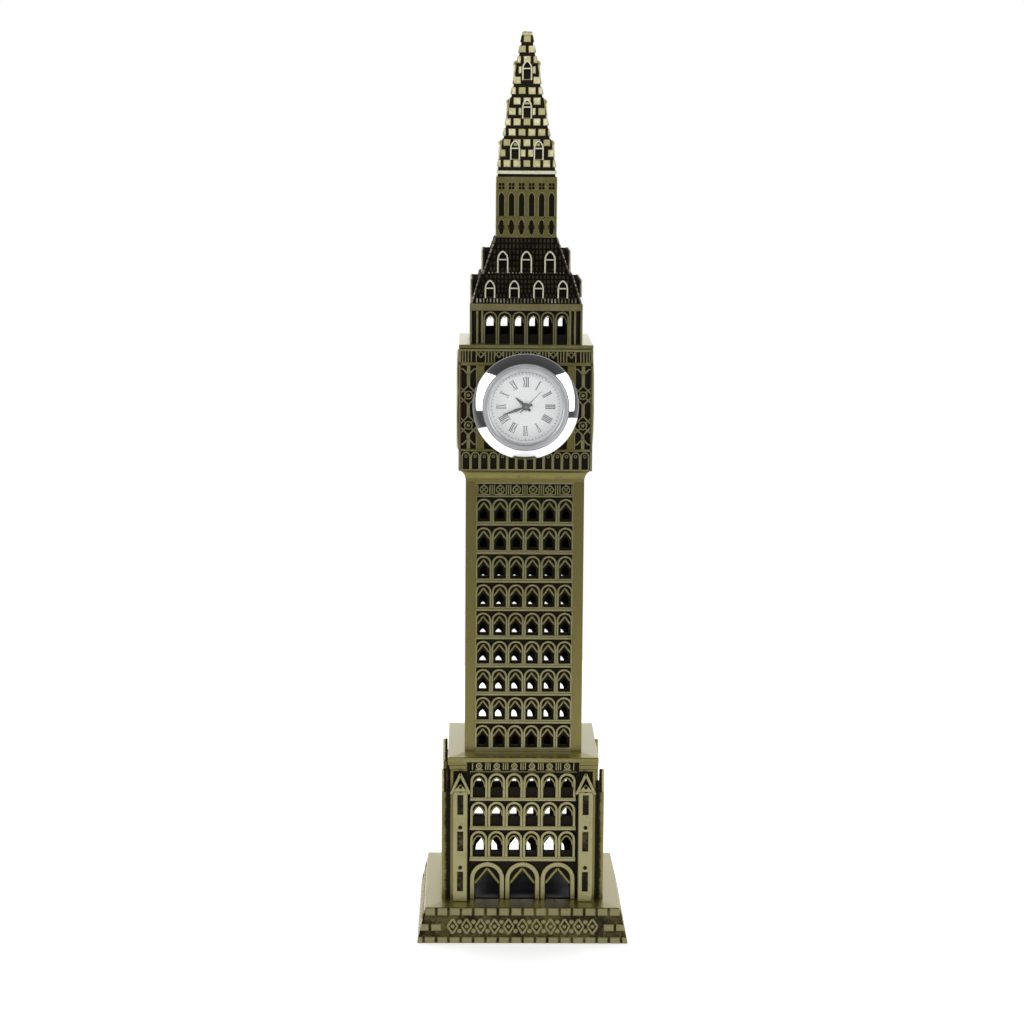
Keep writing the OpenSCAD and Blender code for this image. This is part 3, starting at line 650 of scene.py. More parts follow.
class Graph:
    """Short way to write a material's node tree."""

    def __init__(self, name: str) -> None:
        """Starts a material whose output is a principled shader.

        Args:
            name: The material's name.
        """
        self.material = bpy.data.materials.new(name)
        self.material.use_nodes = True
        self.tree = self.material.node_tree
        self.shader = self.tree.nodes["Principled BSDF"]
        self.place = self.add("ShaderNodeTexCoord").outputs["Object"]

    def add(self, kind: str, **settings: object) -> bpy.types.Node:
        """Adds a node and sets its properties.

        Args:
            kind: The node's type.
            settings: Properties of the node.

        Returns:
            The new node.
        """
        node = self.tree.nodes.new(kind)
        for key, value in settings.items():
            setattr(node, key, value)
        return node

    def put(self, value: object, socket: bpy.types.NodeSocket) -> None:
        """Links an output to a socket, or sets the socket's own value.

        Args:
            value: An output, a number or a colour.
            socket: The input that takes it.
        """
        if isinstance(value, bpy.types.NodeSocket):
            self.tree.links.new(value, socket)
        else:
            socket.default_value = value

    def noise(self, scale: float, detail: float,
              stretch: Sequence[float] = (1, 1, 1)) -> bpy.types.NodeSocket:
        """Cloudy pattern fixed to the piece, scale in cells a metre.

        Args:
            scale: Cells a metre.
            detail: Octaves of the noise.
            stretch: Squeeze of the pattern along each axis.

        Returns:
            The pattern, from 0 to 1.
        """
        mapping = self.add("ShaderNodeMapping")
        mapping.inputs["Scale"].default_value = stretch
        self.put(self.place, mapping.inputs["Vector"])
        node = self.add("ShaderNodeTexNoise")
        self.put(mapping.outputs["Vector"], node.inputs["Vector"])
        node.inputs["Scale"].default_value = scale
        node.inputs["Detail"].default_value = detail
        return node.outputs["Fac"]

    def math(self, kind: str, a: object, b: object = 0.0) -> bpy.types.NodeSocket:
        """One arithmetic step.

        Args:
            kind: Operation, as Blender names it.
            a: First number or output.
            b: Second number or output.

        Returns:
            The result.
        """
        node = self.add("ShaderNodeMath", operation=kind)
        self.put(a, node.inputs[0])
        self.put(b, node.inputs[1])
        return node.outputs[0]

    def spread(self, value: object, low: Span, high: Span) -> bpy.types.NodeSocket:
        """Maps a value from one range to another, clamped, with soft ends.

        Args:
            value: The output to map.
            low: Ends of the range it comes from.
            high: Ends of the range it goes to.

        Returns:
            The mapped value.
        """
        node = self.add("ShaderNodeMapRange", interpolation_type="SMOOTHSTEP")
        self.put(value, node.inputs["Value"])
        node.inputs["From Min"].default_value, node.inputs["From Max"].default_value = low
        node.inputs["To Min"].default_value, node.inputs["To Max"].default_value = high
        return node.outputs["Result"]

    def mix(self, share: object, a: object, b: object) -> bpy.types.NodeSocket:
        """Mixes two colours by a share.

        Args:
            share: Share of the second colour.
            a: First colour or output.
            b: Second colour or output.

        Returns:
            The mixed colour.
        """
        node = self.add("ShaderNodeMix", data_type="RGBA")
        factor, first, second = [socket for socket in node.inputs if socket.enabled]
        self.put(share, factor)
        for value, socket in ((a, first), (b, second)):
            self.put((*value, 1.0) if isinstance(value, tuple) else value, socket)
        return next(socket for socket in node.outputs if socket.enabled)

    def bump(self, height: bpy.types.NodeSocket, depth: float) -> None:
        """Raises the surface by a pattern, depth in metres.

        Args:
            height: The pattern.
            depth: Its height in metres.
        """
        node = self.add("ShaderNodeBump")
        node.inputs["Strength"].default_value = 1.0
        node.inputs["Distance"].default_value = depth
        self.put(height, node.inputs["Height"])
        self.put(node.outputs["Normal"], self.shader.inputs["Normal"])

    def set(self, **sockets: object) -> bpy.types.Material:
        """Sets or links the shader's sockets by name, and returns the material.

        Args:
            sockets: Values or outputs by socket name, with _ for a space.

        Returns:
            The finished material.
        """
        for name, value in sockets.items():
            self.put(value, self.shader.inputs[name.replace("_", " ")])
        return self.material


MADE: dict[str, bpy.types.Material] = {}


class Finish:
    """Finish that makes its material once and shares it among the pieces."""

    name: str

    def material(self) -> bpy.types.Material:
        """Builds the material."""
        raise NotImplementedError

    def made(self) -> bpy.types.Material:
        """Gives the one material of this finish."""
        if self.name not in MADE:
            MADE[self.name] = self.material()
        return MADE[self.name]


@dataclass(frozen=True)
class Patinated(Finish):
    """Cast metal: black in its depths, olive on plain faces, rubbed pale on its ridges."""

    name: str
    bare: Colour
    plain: Colour
    patina: Colour
    rough: Span = (0.6, 0.36)
    low: Span = (0.2, 0.55)
    high: Span = (0.68, 1.05)
    coat: float = 0.22
    clouding: float = 0.45
    speckle: float = 0.3
    pitting: float = 0.00006

    def material(self) -> bpy.types.Material:
        """Builds the material from the bareness stored on each casting.

        Returns:
            The new material.
        """
        graph = Graph(self.name)
        stored = graph.add("ShaderNodeAttribute", attribute_name="bare", attribute_type="GEOMETRY")
        cloud = graph.noise(170, 4.0)
        grain = graph.noise(1500, 2.0)
        shown = stored.outputs["Fac"]
        for pattern, weight in ((cloud, self.clouding), (grain, self.speckle)):
            change = graph.math("MULTIPLY", graph.math("SUBTRACT", pattern, 0.5), weight)
            shown = graph.math("ADD", shown, change)
        share = graph.spread(shown, self.low, (0.0, 1.0))
        metal = graph.mix(graph.spread(shown, self.high, (0.0, 1.0)), self.plain, self.bare)
        graph.bump(graph.math("ADD", graph.math("MULTIPLY", cloud, 0.5), grain), self.pitting)
        return graph.set(Base_Color=graph.mix(share, self.patina, metal), Metallic=0.9,
                         Coat_Weight=graph.math("MULTIPLY", share, self.coat),
                         Coat_Roughness=0.16, Coat_IOR=1.6,
                         Roughness=graph.spread(share, (0.0, 1.0), self.rough))


@dataclass(frozen=True)
class Worked(Finish):
    """Machined, moulded or printed surface with faint clouding and a fine grain."""

    name: str
    tint: Colour
    shade: Colour
    metallic: float = 0.0
    rough: Span = (0.35, 0.5)
    scale: float = 300.0
    stretch: tuple[float, float, float] = (1.0, 1.0, 1.0)
    grain: float = 0.00002
    coat: float = 0.0

    def material(self) -> bpy.types.Material:
        """Builds the material.

        Returns:
            The new material.
        """
        graph = Graph(self.name)
        cloud = graph.noise(self.scale, 3.0, self.stretch)
        grain = graph.noise(self.scale * 8, 2.0, self.stretch)
        if self.grain:
            graph.bump(grain, self.grain)
        colour = graph.mix(graph.spread(cloud, (0.3, 0.7), (0.0, 1.0)), self.tint, self.shade)
        return graph.set(Base_Color=colour, Metallic=self.metallic, Coat_Weight=self.coat,
                         Roughness=graph.spread(grain, (0.3, 0.7), self.rough))


@dataclass(frozen=True)
class Clear(Finish):
    """Thin clear crystal with the faintest smear in its polish."""

    name: str

    def material(self) -> bpy.types.Material:
        """Builds the material.

        Returns:
            The new material.
        """
        graph = Graph(self.name)
        smear = graph.noise(120, 2.0)
        return graph.set(Base_Color=(0.95, 0.98, 0.98, 1.0), IOR=1.45, Alpha=0.07,
                         Roughness=graph.spread(smear, (0.3, 0.8), (0.02, 0.06)))


@dataclass(frozen=True)
class PaintedShadeSheet(Finish):
    """Dark plated sheet with painted shade: its colour goes black towards the tower's axis, where the closed
    inside gets little light.
    """

    name: str
    # edge is the sheet's colour by the walls, middle the painted-shade colour at the axis, reach the
    # distances from the axis in metres over which the painted shade gives way to the edge colour.
    edge: Colour
    middle: Colour
    reach: Span

    def material(self) -> bpy.types.Material:
        """Builds the material from the distance to the tower's axis.

        Returns:
            The new material.
        """
        graph = Graph(self.name)
        axes = graph.add("ShaderNodeSeparateXYZ")
        graph.put(graph.place, axes.inputs[0])
        away = graph.math("MAXIMUM", graph.math("ABSOLUTE", axes.outputs["X"]),
                          graph.math("ABSOLUTE", axes.outputs["Y"]))
        cloud = graph.noise(120, 3.0)
        # Painted shade: darker towards the tower's axis, broken up by noise.
        share = graph.math("MULTIPLY", graph.spread(away, self.reach, (0.0, 1.0)),
                           graph.math("ADD", cloud, 0.45))
        return graph.set(Base_Color=graph.mix(share, self.middle, self.edge), Specular_IOR_Level=0.1,
                         Roughness=graph.spread(cloud, (0.3, 0.7), (0.75, 0.9)))


BRASS = Patinated("antique_brass", (0.30, 0.275, 0.135), (0.19, 0.165, 0.048), (0.014, 0.0115, 0.0075))
ROOF = Patinated("roof_bronze", (0.66, 0.62, 0.48), (0.050, 0.038, 0.021), (0.010, 0.008, 0.006),
                 (0.8, 0.62), coat=0.0)
SPIRE = Patinated("spire_brass", (0.85, 0.82, 0.62), (0.36, 0.325, 0.155), (0.014, 0.011, 0.007),
                  (0.6, 0.5), coat=0.0)
CHROME = Worked("bezel_chrome", (0.90, 0.90, 0.92), (0.84, 0.85, 0.87), 1.0, (0.03, 0.07), 60, grain=0.0)
SATIN = Worked("dial_ring_silver", (0.62, 0.63, 0.64), (0.56, 0.57, 0.58), 0.8, (0.36, 0.42), 90, grain=0.0)
WHITE = Worked("dial_white", (0.90, 0.915, 0.91), (0.87, 0.885, 0.88), 0.0, (0.3, 0.4), 200, grain=0.0)
PRINT = Worked("dial_print_grey", (0.13, 0.135, 0.14), (0.10, 0.105, 0.11), 0.0, (0.4, 0.55), 400,
               grain=0.0)
HANDS = Worked("hand_black", (0.012, 0.012, 0.014), (0.022, 0.022, 0.024), 0.1, (0.25, 0.35), 500,
               grain=0.000002)
FINISHES = {
    "pad_foam": Worked("pad_foam", (0.02, 0.02, 0.02), (0.035, 0.035, 0.035), 0.0, (0.85, 0.95), 900,
                       grain=0.0002),
    "plate_steel": Worked("plate_steel", (0.55, 0.55, 0.54), (0.42, 0.42, 0.42), 1.0, (0.28, 0.45), 150,
                          (1, 8, 1)),
    # Deck plate with painted shade, black towards the tower's axis.
    "deck_metal": PaintedShadeSheet("deck_metal", (0.22, 0.21, 0.23), (0.004, 0.004, 0.004), (0.010, 0.0185)),
    "screw_steel": Worked("screw_steel", (0.66, 0.66, 0.66), (0.5, 0.5, 0.5), 1.0, (0.22, 0.34), 500),
    "crystal_glass": Clear("crystal_glass"),
    "dial_ring_silver": SATIN,
    "case_plastic": Worked("case_plastic", (0.03, 0.03, 0.032), (0.045, 0.045, 0.047), 0.0, (0.4, 0.55),
                           700),
    "grip_rubber": Worked("grip_rubber", (0.018, 0.018, 0.018), (0.03, 0.03, 0.03), 0.0, (0.7, 0.85), 900),
    "movement_steel": Worked("movement_steel", (0.6, 0.6, 0.58), (0.48, 0.48, 0.46), 1.0, (0.2, 0.4),
                             260, (1, 10, 1)),
    "board_green": Worked("board_green", (0.01, 0.13, 0.05), (0.015, 0.18, 0.07), 0.0, (0.25, 0.4), 500,
                          coat=0.4),
    "battery_steel": Worked("battery_steel", (0.72, 0.72, 0.7), (0.62, 0.62, 0.6), 1.0, (0.16, 0.3), 300),
    "coil_copper": Worked("coil_copper", (0.42, 0.14, 0.05), (0.56, 0.22, 0.09), 0.8, (0.25, 0.4), 700,
                          (1, 1, 12)),
    "magnet_grey": Worked("magnet_grey", (0.12, 0.12, 0.13), (0.17, 0.17, 0.18), 0.5, (0.4, 0.55), 600),
    "gear_brass": Worked("gear_brass", (0.75, 0.56, 0.24), (0.64, 0.46, 0.17), 1.0, (0.2, 0.34), 350,
                         (1, 6, 1)),
}


# ---- Tower ----


def dial_height() -> float:
    """Height of the middle of the clock's bezel."""
    low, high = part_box("bezel")
    return (low[2] + high[2]) / 2 / MM


@dataclass
class Storey:
    """One storey of castings between two levels, the same on every side."""

    node: str
    half: float = field(init=False)
    foot: float = field(init=False)
    top: float = field(init=False)

    def __post_init__(self) -> None:
        """Takes the storey's levels and the depth of its wall face from its CAD nodes."""
        low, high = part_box(self.cad_name(Side.FRONT))
        self.half, self.foot, self.top = -low[1] / MM, low[2] / MM, high[2] / MM

    def cad_name(self, side: Side) -> str:
        """Name of the CAD node on one side, or of the one node that has all sides."""
        return f"{self.node}_{side.word}" if self.node + "_front" in frame["nodes"] else self.node

    def front(self) -> bpy.types.Object:
        """Builds the casting that faces the front."""
        raise NotImplementedError

    def finish(self) -> Patinated:
        """Finish of the casting."""
        return BRASS

    def build(self) -> list[bpy.types.Object]:
        """Builds the casting and its copies on the other sides.

        Returns:
            One piece for each CAD node that it replaces.
        """
        model = joined([self.front()])
        sides = [twin(model, Matrix.Rotation(math.pi / 2 * side.value, 4, "Z")) for side in Side]
        bpy.data.objects.remove(model)
        if self.cad_name(Side.FRONT) == self.node:
            sides = [joined(sides)]
        for side, piece in zip(Side, sides):
            node = self.cad_name(side)
            hand_over(piece, node + "_casting", "tower", self.finish(), node)
        return sides


def hand_over(piece: bpy.types.Object, name: str, body: str, finish: Finish, *nodes: str,
              angle: float = 32.0, slot: str = "") -> None:
    """Names a finished piece, dresses it, and ties it to its body and CAD nodes.

    Args:
        piece: The finished mesh.
        name: Its new name.
        body: The body it rides on.
        finish: Its finish, which is named after its slot.
        nodes: CAD nodes that it stands for.
        angle: Faces that meet at less than this angle are shaded as one surface, in degrees.
        slot: The record's slot, if it isn't the finish's name; not used.
    """
    piece.name = piece.data.name = name
    only(piece)
    bpy.ops.object.shade_smooth_by_angle(angle=math.radians(angle))
    piece.data.materials.clear()
    piece.data.materials.append(finish.made())
    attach(piece, body)
    if nodes:
        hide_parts(*nodes)
    LOG.info("%s: %d faces", name, len(piece.data.polygons))


def frieze(pitch: float, count: int, z: Span, y: Span) -> list[bpy.types.Object]:
    """Row of roundels with crosses and bars between them.

    Args:
        pitch: Distance between roundels.
        count: Number of roundels.
        z: Foot and top of the row.
        y: Front and back.

    Returns:
        The new pieces.
    """
    middle, radius = (z[0] + z[1]) / 2 + 0.1, (z[1] - z[0]) * 0.45
    arm = radius * 0.6
    unit = joined([
        loop(radius, 0.5, y, middle),
        rod((-arm, middle - arm), (arm, middle + arm), 0.32, y),
        rod((-arm, middle + arm), (arm, middle - arm), 0.32, y),
        block((-radius * 1.15, radius * 1.15), y, (z[0] - 0.1, z[0] + 0.35), 0.08),
        rod((0, middle + radius * 0.9), (0, z[1] + 0.35), 0.5, y),
    ])
    bars = joined([block((x - 0.2, x + 0.2), y, z, 0.08) for x in (-0.75, 0.0, 0.75)])
    return [row(unit, count, pitch), row(bars, count - 1, pitch),
            *mirrored(moved(block((-0.2, 0.2), y, z, 0.08), x=(count / 2 - 0.13) * pitch))]


@dataclass
class Plinth(Storey):
    """Sloped plinth of raised bricks with an ornament band and a hipped top."""

    top_half: float = 33.6
    edge: float = 12.0
    seat_half: float = 28.5
    well_half: float = 22.4
    pitch: float = 4.25
    joint: float = 0.75
    sunk: float = 0.55
    shell: float = 2.6
    lift: float = 0.02
    brick_depth: float = 0.9
    brick_bare: Span = (-0.2, 1.05)
    ground_bare: float = 0.3
    top_bare: float = 0.62
    lozenges: int = 11
    lozenge: Point = (1.75, 2.5)
    bar: float = 0.75
    stud: float = 0.7
    disc: float = 0.85
    disc_rise: float = 1.5
    ornament_z: float = 5.7
    ornament_half: float = 26.5
    ornament_bare: Span = (0.1, 1.1)
    courses: Sequence[tuple[float, float, float]] = ((0.0, 2.3, 0.5), (4.1, 6.6, 0.0), (9.2, 12.0, 0.5))

    def ornament(self) -> bpy.types.Object:
        """Band of lozenge frames round studs with small discs between them.

        Returns:
            The band as one piece.
        """
        y, middle, (wide, tall) = (-self.half, -self.half + 0.8), self.ornament_z, self.lozenge
        tip = (0, middle + tall)
        corners = (tip, (wide, middle), (0, middle - tall), (-wide, middle), tip)
        lozenge = joined([*[rod(a, b, self.bar, y, self.ornament_bare) for a, b in zip(corners, corners[1:])],
                          boss(self.stud, y, middle, 0, 10, self.ornament_bare)])
        count, pitch = self.lozenges, 2 * self.ornament_half / self.lozenges
        discs = joined([boss(self.disc, y, middle + side * self.disc_rise, 0, 12, self.ornament_bare)
                        for side in (-1, 1)])
        return joined([row(lozenge, count, pitch), row(discs, count - 1, pitch)])

    def width_at(self, z: float) -> float:
        """Half width of the sloped face at a height."""
        return self.half + (self.top_half - self.half) * z / self.edge

    def front(self) -> bpy.types.Object:
        """Builds the front panel: ground, bricks, ornament and top.

        Returns:
            The casting as one piece.
        """
        ground = block((-self.half, self.half), (-self.half, -self.half + self.shell), (self.lift, self.edge))
        parts = [even(moved(ground, y=self.sunk), self.ground_bare)]
        for low, high, shift in self.courses:
            reach = self.width_at((low + high) / 2)
            count = int(2 * reach / self.pitch)
            for x in [(k + shift) * self.pitch for k in range(-count, count + 1)]:
                left = max(x - (self.pitch - self.joint) / 2, -reach - 1)
                right = min(x + (self.pitch - self.joint) / 2, reach + 1)
                if right - left > 0.8 and (shift or abs(x) > self.ornament_half):
                    parts.append(block((left, right), (-self.half, -self.half + self.brick_depth),
                                       (low + self.lift, high), 0.3, self.brick_bare))
        parts.append(self.ornament())
        panel = leaned(joined(parts), -self.half, 0, self.half - self.top_half, self.edge)
        for vertex in panel.data.vertices:
            vertex.co.z = max(vertex.co.z, self.lift * MM)
        top = slab((2 * self.top_half, 2 * self.seat_half), (self.edge, self.top))
        combine(top, slab((2 * self.well_half, 2 * self.well_half), (self.edge - 1, self.top + 1)))
        return joined([mitre(panel), mitre(even(top, self.top_bare))])


@dataclass
class LowerStorey(Storey):
    """Storey with gabled buttresses, three wide arches, three rows of small arches and a ledge."""

    face: float = 25.0
    relief: float = 0.75
    wall: float = 2.2
    wide_pitch: float = 12.25
    pitch: float = 6.08
    arcade: float = 18.4
    rows: Sequence[tuple[float, float]] = ((27.64, 37.0), (38.55, 47.4), (48.71, 57.6))
    sill: float = 3.3
    first_sill: float = 1.9
    opening: float = 3.3
    wide: Span = (12.5, 25.9)
    wide_opening: float = 8.0
    ledge_foot: float = 58.0
    ledge_cove: Span = (60.6, 61.5)
    ledge_edge: float = 63.1
    ledge_half: float = 26.0
    ledge_frieze: Span = (58.5, 61.1)
    shaft_half: float = 20.2
    corner_x: float = 19.3
    buttress_x: float = 21.6
    buttress_half: float = 2.5
    eaves: float = 51.6
    apex: float = 57.7
    panel_feet: Sequence[float] = (16.1, 30.4, 43.4)
    panel_h: float = 7.0
    panel_half: float = 1.05
    panel_depth: float = 0.55
    dot: float = 0.72
    gable_dot: float = 0.62
    dot_depth: float = 0.6
    hollow_bare: float = -0.2

    def arcade_row(self, z: Span) -> list[bpy.types.Object]:
        """One row of six small arches with pointed openings behind.

        Args:
            z: Foot and top of the row.

        Returns:
            The row as one piece in a list.
        """
        face, ground, back = layers(self.face, self.relief, self.wall)
        sill = self.first_sill if z is self.rows[0] else self.sill
        hole = lancet(z[0] + sill, z[1] - 2.1, self.opening, (ground - 1, back + 1))
        plate = block((-self.pitch / 2, self.pitch / 2), (ground, back), (z[0] - 0.02, z[1] + 0.1), 0, SUNK)
        combine(plate, hole)
        rib = arch(z[0], z[1] - 0.05, self.pitch / 2 + 0.06, 1.1, (face, ground + 0.05), 8)
        point = peak(z[1] - 2.3, 3.4, 0.75, (face + 0.35, ground + 0.1), 3, (0.0, 0.62))
        return [row(joined([plate, rib, point]), 6, self.pitch)]

    def front(self) -> bpy.types.Object:
        """Builds the front wall.

        Returns:
            The casting as one piece.
        """
        face, ground, back = layers(self.face, self.relief, self.wall)
        foot, crown = self.wide
        hole = lancet(foot, crown - 3.0, self.wide_opening, (ground - 1, back + 1))
        plate = combine(block((-self.wide_pitch / 2, self.wide_pitch / 2), (ground, back),
                              (self.foot, crown + 0.1), 0, SUNK), hole)
        rib = arch(foot, crown - 0.05, self.wide_pitch / 2 + 0.06, 2.0, (face, ground + 0.05), 12)
        point = chevron(crown - 2.6, 4.3, 5.4, 0.95, (face + 0.4, ground + 0.1), (0.0, 0.7))
        parts = [row(joined([plate, rib, point]), 3, self.wide_pitch)]
        below = crown
        for z in self.rows:
            parts += self.arcade_row(z)
            parts += self.band((below, z[0]), face, back)
            below = z[1]
        parts += self.band((below, self.ledge_foot), face, back)
        flank = block((self.arcade - 0.1, self.face), (ground, back), (self.foot, self.ledge_foot), 0, SUNK)
        corner = block((self.face - 0.9, self.face), (face, back), (self.foot, self.ledge_foot), 0,
                       (0.3, 0.6))
        parts += [mitre(p) for p in mirrored(flank)] + [mitre(p) for p in mirrored(corner)]
        return joined(parts + mirrored(self.buttress()) + self.ledge())

    def band(self, z: Span, face: float, back: float) -> list[bpy.types.Object]:
        """Two-step band over a row of arches.

        Args:
            z: Foot and top of the band.
            face: Depth of the wall's face.
            back: Depth of the wall's back.

        Returns:
            The lower and the upper step.
        """
        step = z[0] + (z[1] - z[0]) * 0.6
        return [block((-self.arcade, self.arcade), (face + 0.22, back), (z[0], step), 0.1),
                block((-self.arcade, self.arcade), (face - 0.12, back), (step, z[1]), 0.12)]

    def buttress(self) -> bpy.types.Object:
        """Buttress with three sunk panels, three sunk dots and a gabled coping.

        Returns:
            The buttress on the right.
        """
        x, out, half = self.buttress_x, -self.half, self.buttress_half
        eaves, apex, deep = self.eaves, self.apex, (out - 1, out + self.dot_depth)
        body = block((x - half, x + half), (out, -self.face + 0.1), (self.foot, eaves), 0.25)
        head = block((x - half, x + half), (out, -self.face + 0.1), (eaves, apex))
        for side in (-1, 1):
            with whole(head):
                bpy.ops.mesh.bisect(plane_co=((x + side * half) * MM, 0, eaves * MM),
                                    plane_no=(side * (apex - eaves), 0, half), clear_outer=True,
                                    use_fill=True)
        for low in self.panel_feet:
            combine(body, block((x - self.panel_half, x + self.panel_half), (out - 1, out + self.panel_depth),
                                (low, low + self.panel_h)))
            combine(body, drum(self.dot, deep, low + 8.45, x))
        combine(head, drum(self.gable_dot, deep, eaves + 1.5, x))
        for part in (body, head):
            tone(part, out, out + 0.5, (0.25, 1.0))
            for vertex, mark in zip(part.data.vertices, bareness(part).data):
                if vertex.co.y / MM > out + 1:
                    mark.value = self.hollow_bare
        coping = [rod((x - side * 3.15, eaves - 1.0), (x + side * 0.12, apex + 0.15), 1.0,
                      (out, out + 1.6), (-0.5, 1.0)) for side in (-1, 1)]
        return joined([body, head, *coping])

    def ledge(self) -> list[bpy.types.Object]:
        """Moulded ledge with its frieze, corner blocks and sloped top.

        Returns:
            The new pieces.
        """
        edge, foot, top = self.ledge_half, self.ledge_foot, self.ledge_edge
        lip = self.face - self.relief
        strip = slab((2 * lip, 2 * lip), (foot, top - 1.0))
        cap = slab((2 * edge, 2 * edge), (self.ledge_cove[1], top), 0.25)
        cove = slab((2 * lip, 2 * edge), self.ledge_cove)
        slope = slab((2 * edge - 0.6, 2 * self.shaft_half), (top, self.top))
        left = self.corner_x
        blocks = [block((left, edge), (-edge + 0.06, -lip + 1), (foot + 2.2, 61.7), 0.25, (0.4, 0.72)),
                  block((left, self.face + 0.4), (-self.face - 0.4, -lip + 1), (foot + 0.7, foot + 2.4), 0.25,
                        (0.3, 0.62)),
                  block((left, self.face), (-self.face, -lip + 1), (foot, foot + 0.9), 0.1, (0.2, 0.55))]
        parts = []
        inside = 2 * self.shaft_half - 4
        for ring, bare in ((strip, 0.12), (cap, 0.8), (cove, 0.55), (slope, 0.62)):
            combine(ring, slab((inside, inside), (foot - 1, self.top + 1)))
            parts.append(mitre(even(ring, bare)))
        for piece in blocks:
            parts += [mitre(p) for p in mirrored(piece)]
        return parts + frieze(self.pitch, 6, self.ledge_frieze, (-self.face - 0.35, -lip + 0.05))


@dataclass
class Shaft(Storey):
    """Tall shaft with nine rows of six windows between plain corner strips."""

    rows: int = 9
    bays: int = 6
    strip: float = 3.4
    frieze_height: float = 5.3
    relief: float = 0.9
    wall: float = 2.0
    band: float = 1.5

    def front(self) -> bpy.types.Object:
        """Builds the front wall.

        Returns:
            The casting as one piece.
        """
        face, ground, back = layers(self.half, self.relief, self.wall)
        panel = self.half - self.strip
        pitch = 2 * panel / self.bays
        rise = (self.top - self.foot - self.frieze_height) / self.rows
        low, high = self.foot + self.band, self.foot + rise
        hole = lancet(low + 0.75, low + 4.5, 2.6, (ground - 1, back + 1))
        plate = combine(block((-pitch / 2, pitch / 2), (ground, back), (self.foot, high), 0, SUNK), hole)
        rib = arch(low - 0.1, high - 0.4, pitch / 2 + 0.05, 0.85, (face + 0.1, ground + 0.05), 8,
                   (0.15, 1.0))
        point = chevron(high - 1.95, 2.05, 2.7, 0.62, (face + 0.45, ground + 0.1))
        bay = row(joined([plate, rib, point]), self.bays, pitch)
        foot, across = self.foot, (-panel, panel)
        window_band = [block(across, (face + 0.15, back), (foot, foot + 0.85), 0.1),
                       block(across, (face, back), (foot + 0.95, low), 0.12),
                       block(across, (face + 0.4, back), (foot + 0.8, foot + 1.0), 0, SUNK)]
        parts = [repeated(joined([bay, *window_band]), self.rows, (0, 0, rise))]
        crown = self.top - self.frieze_height
        parts += [block((-panel, panel), (ground, back), (crown, self.top), 0, SUNK),
                  block((-panel, panel), (face + 0.1, back), (crown, crown + 0.55), 0.1),
                  block((-panel, panel), (face + 0.1, back), (self.top - 0.8, self.top), 0.1)]
        parts += frieze(pitch, self.bays, (crown + 0.75, self.top - 1.1), (face + 0.1, ground + 0.05))
        corner = block((panel, self.half), (face, back), (self.foot, self.top), 0, PLAIN)
        edge = block((panel - 0.5, panel + 0.1), (face + 0.3, back), (self.foot, self.top), 0.15)
        return joined(parts + [mitre(p) for p in mirrored(corner)] + mirrored(edge))


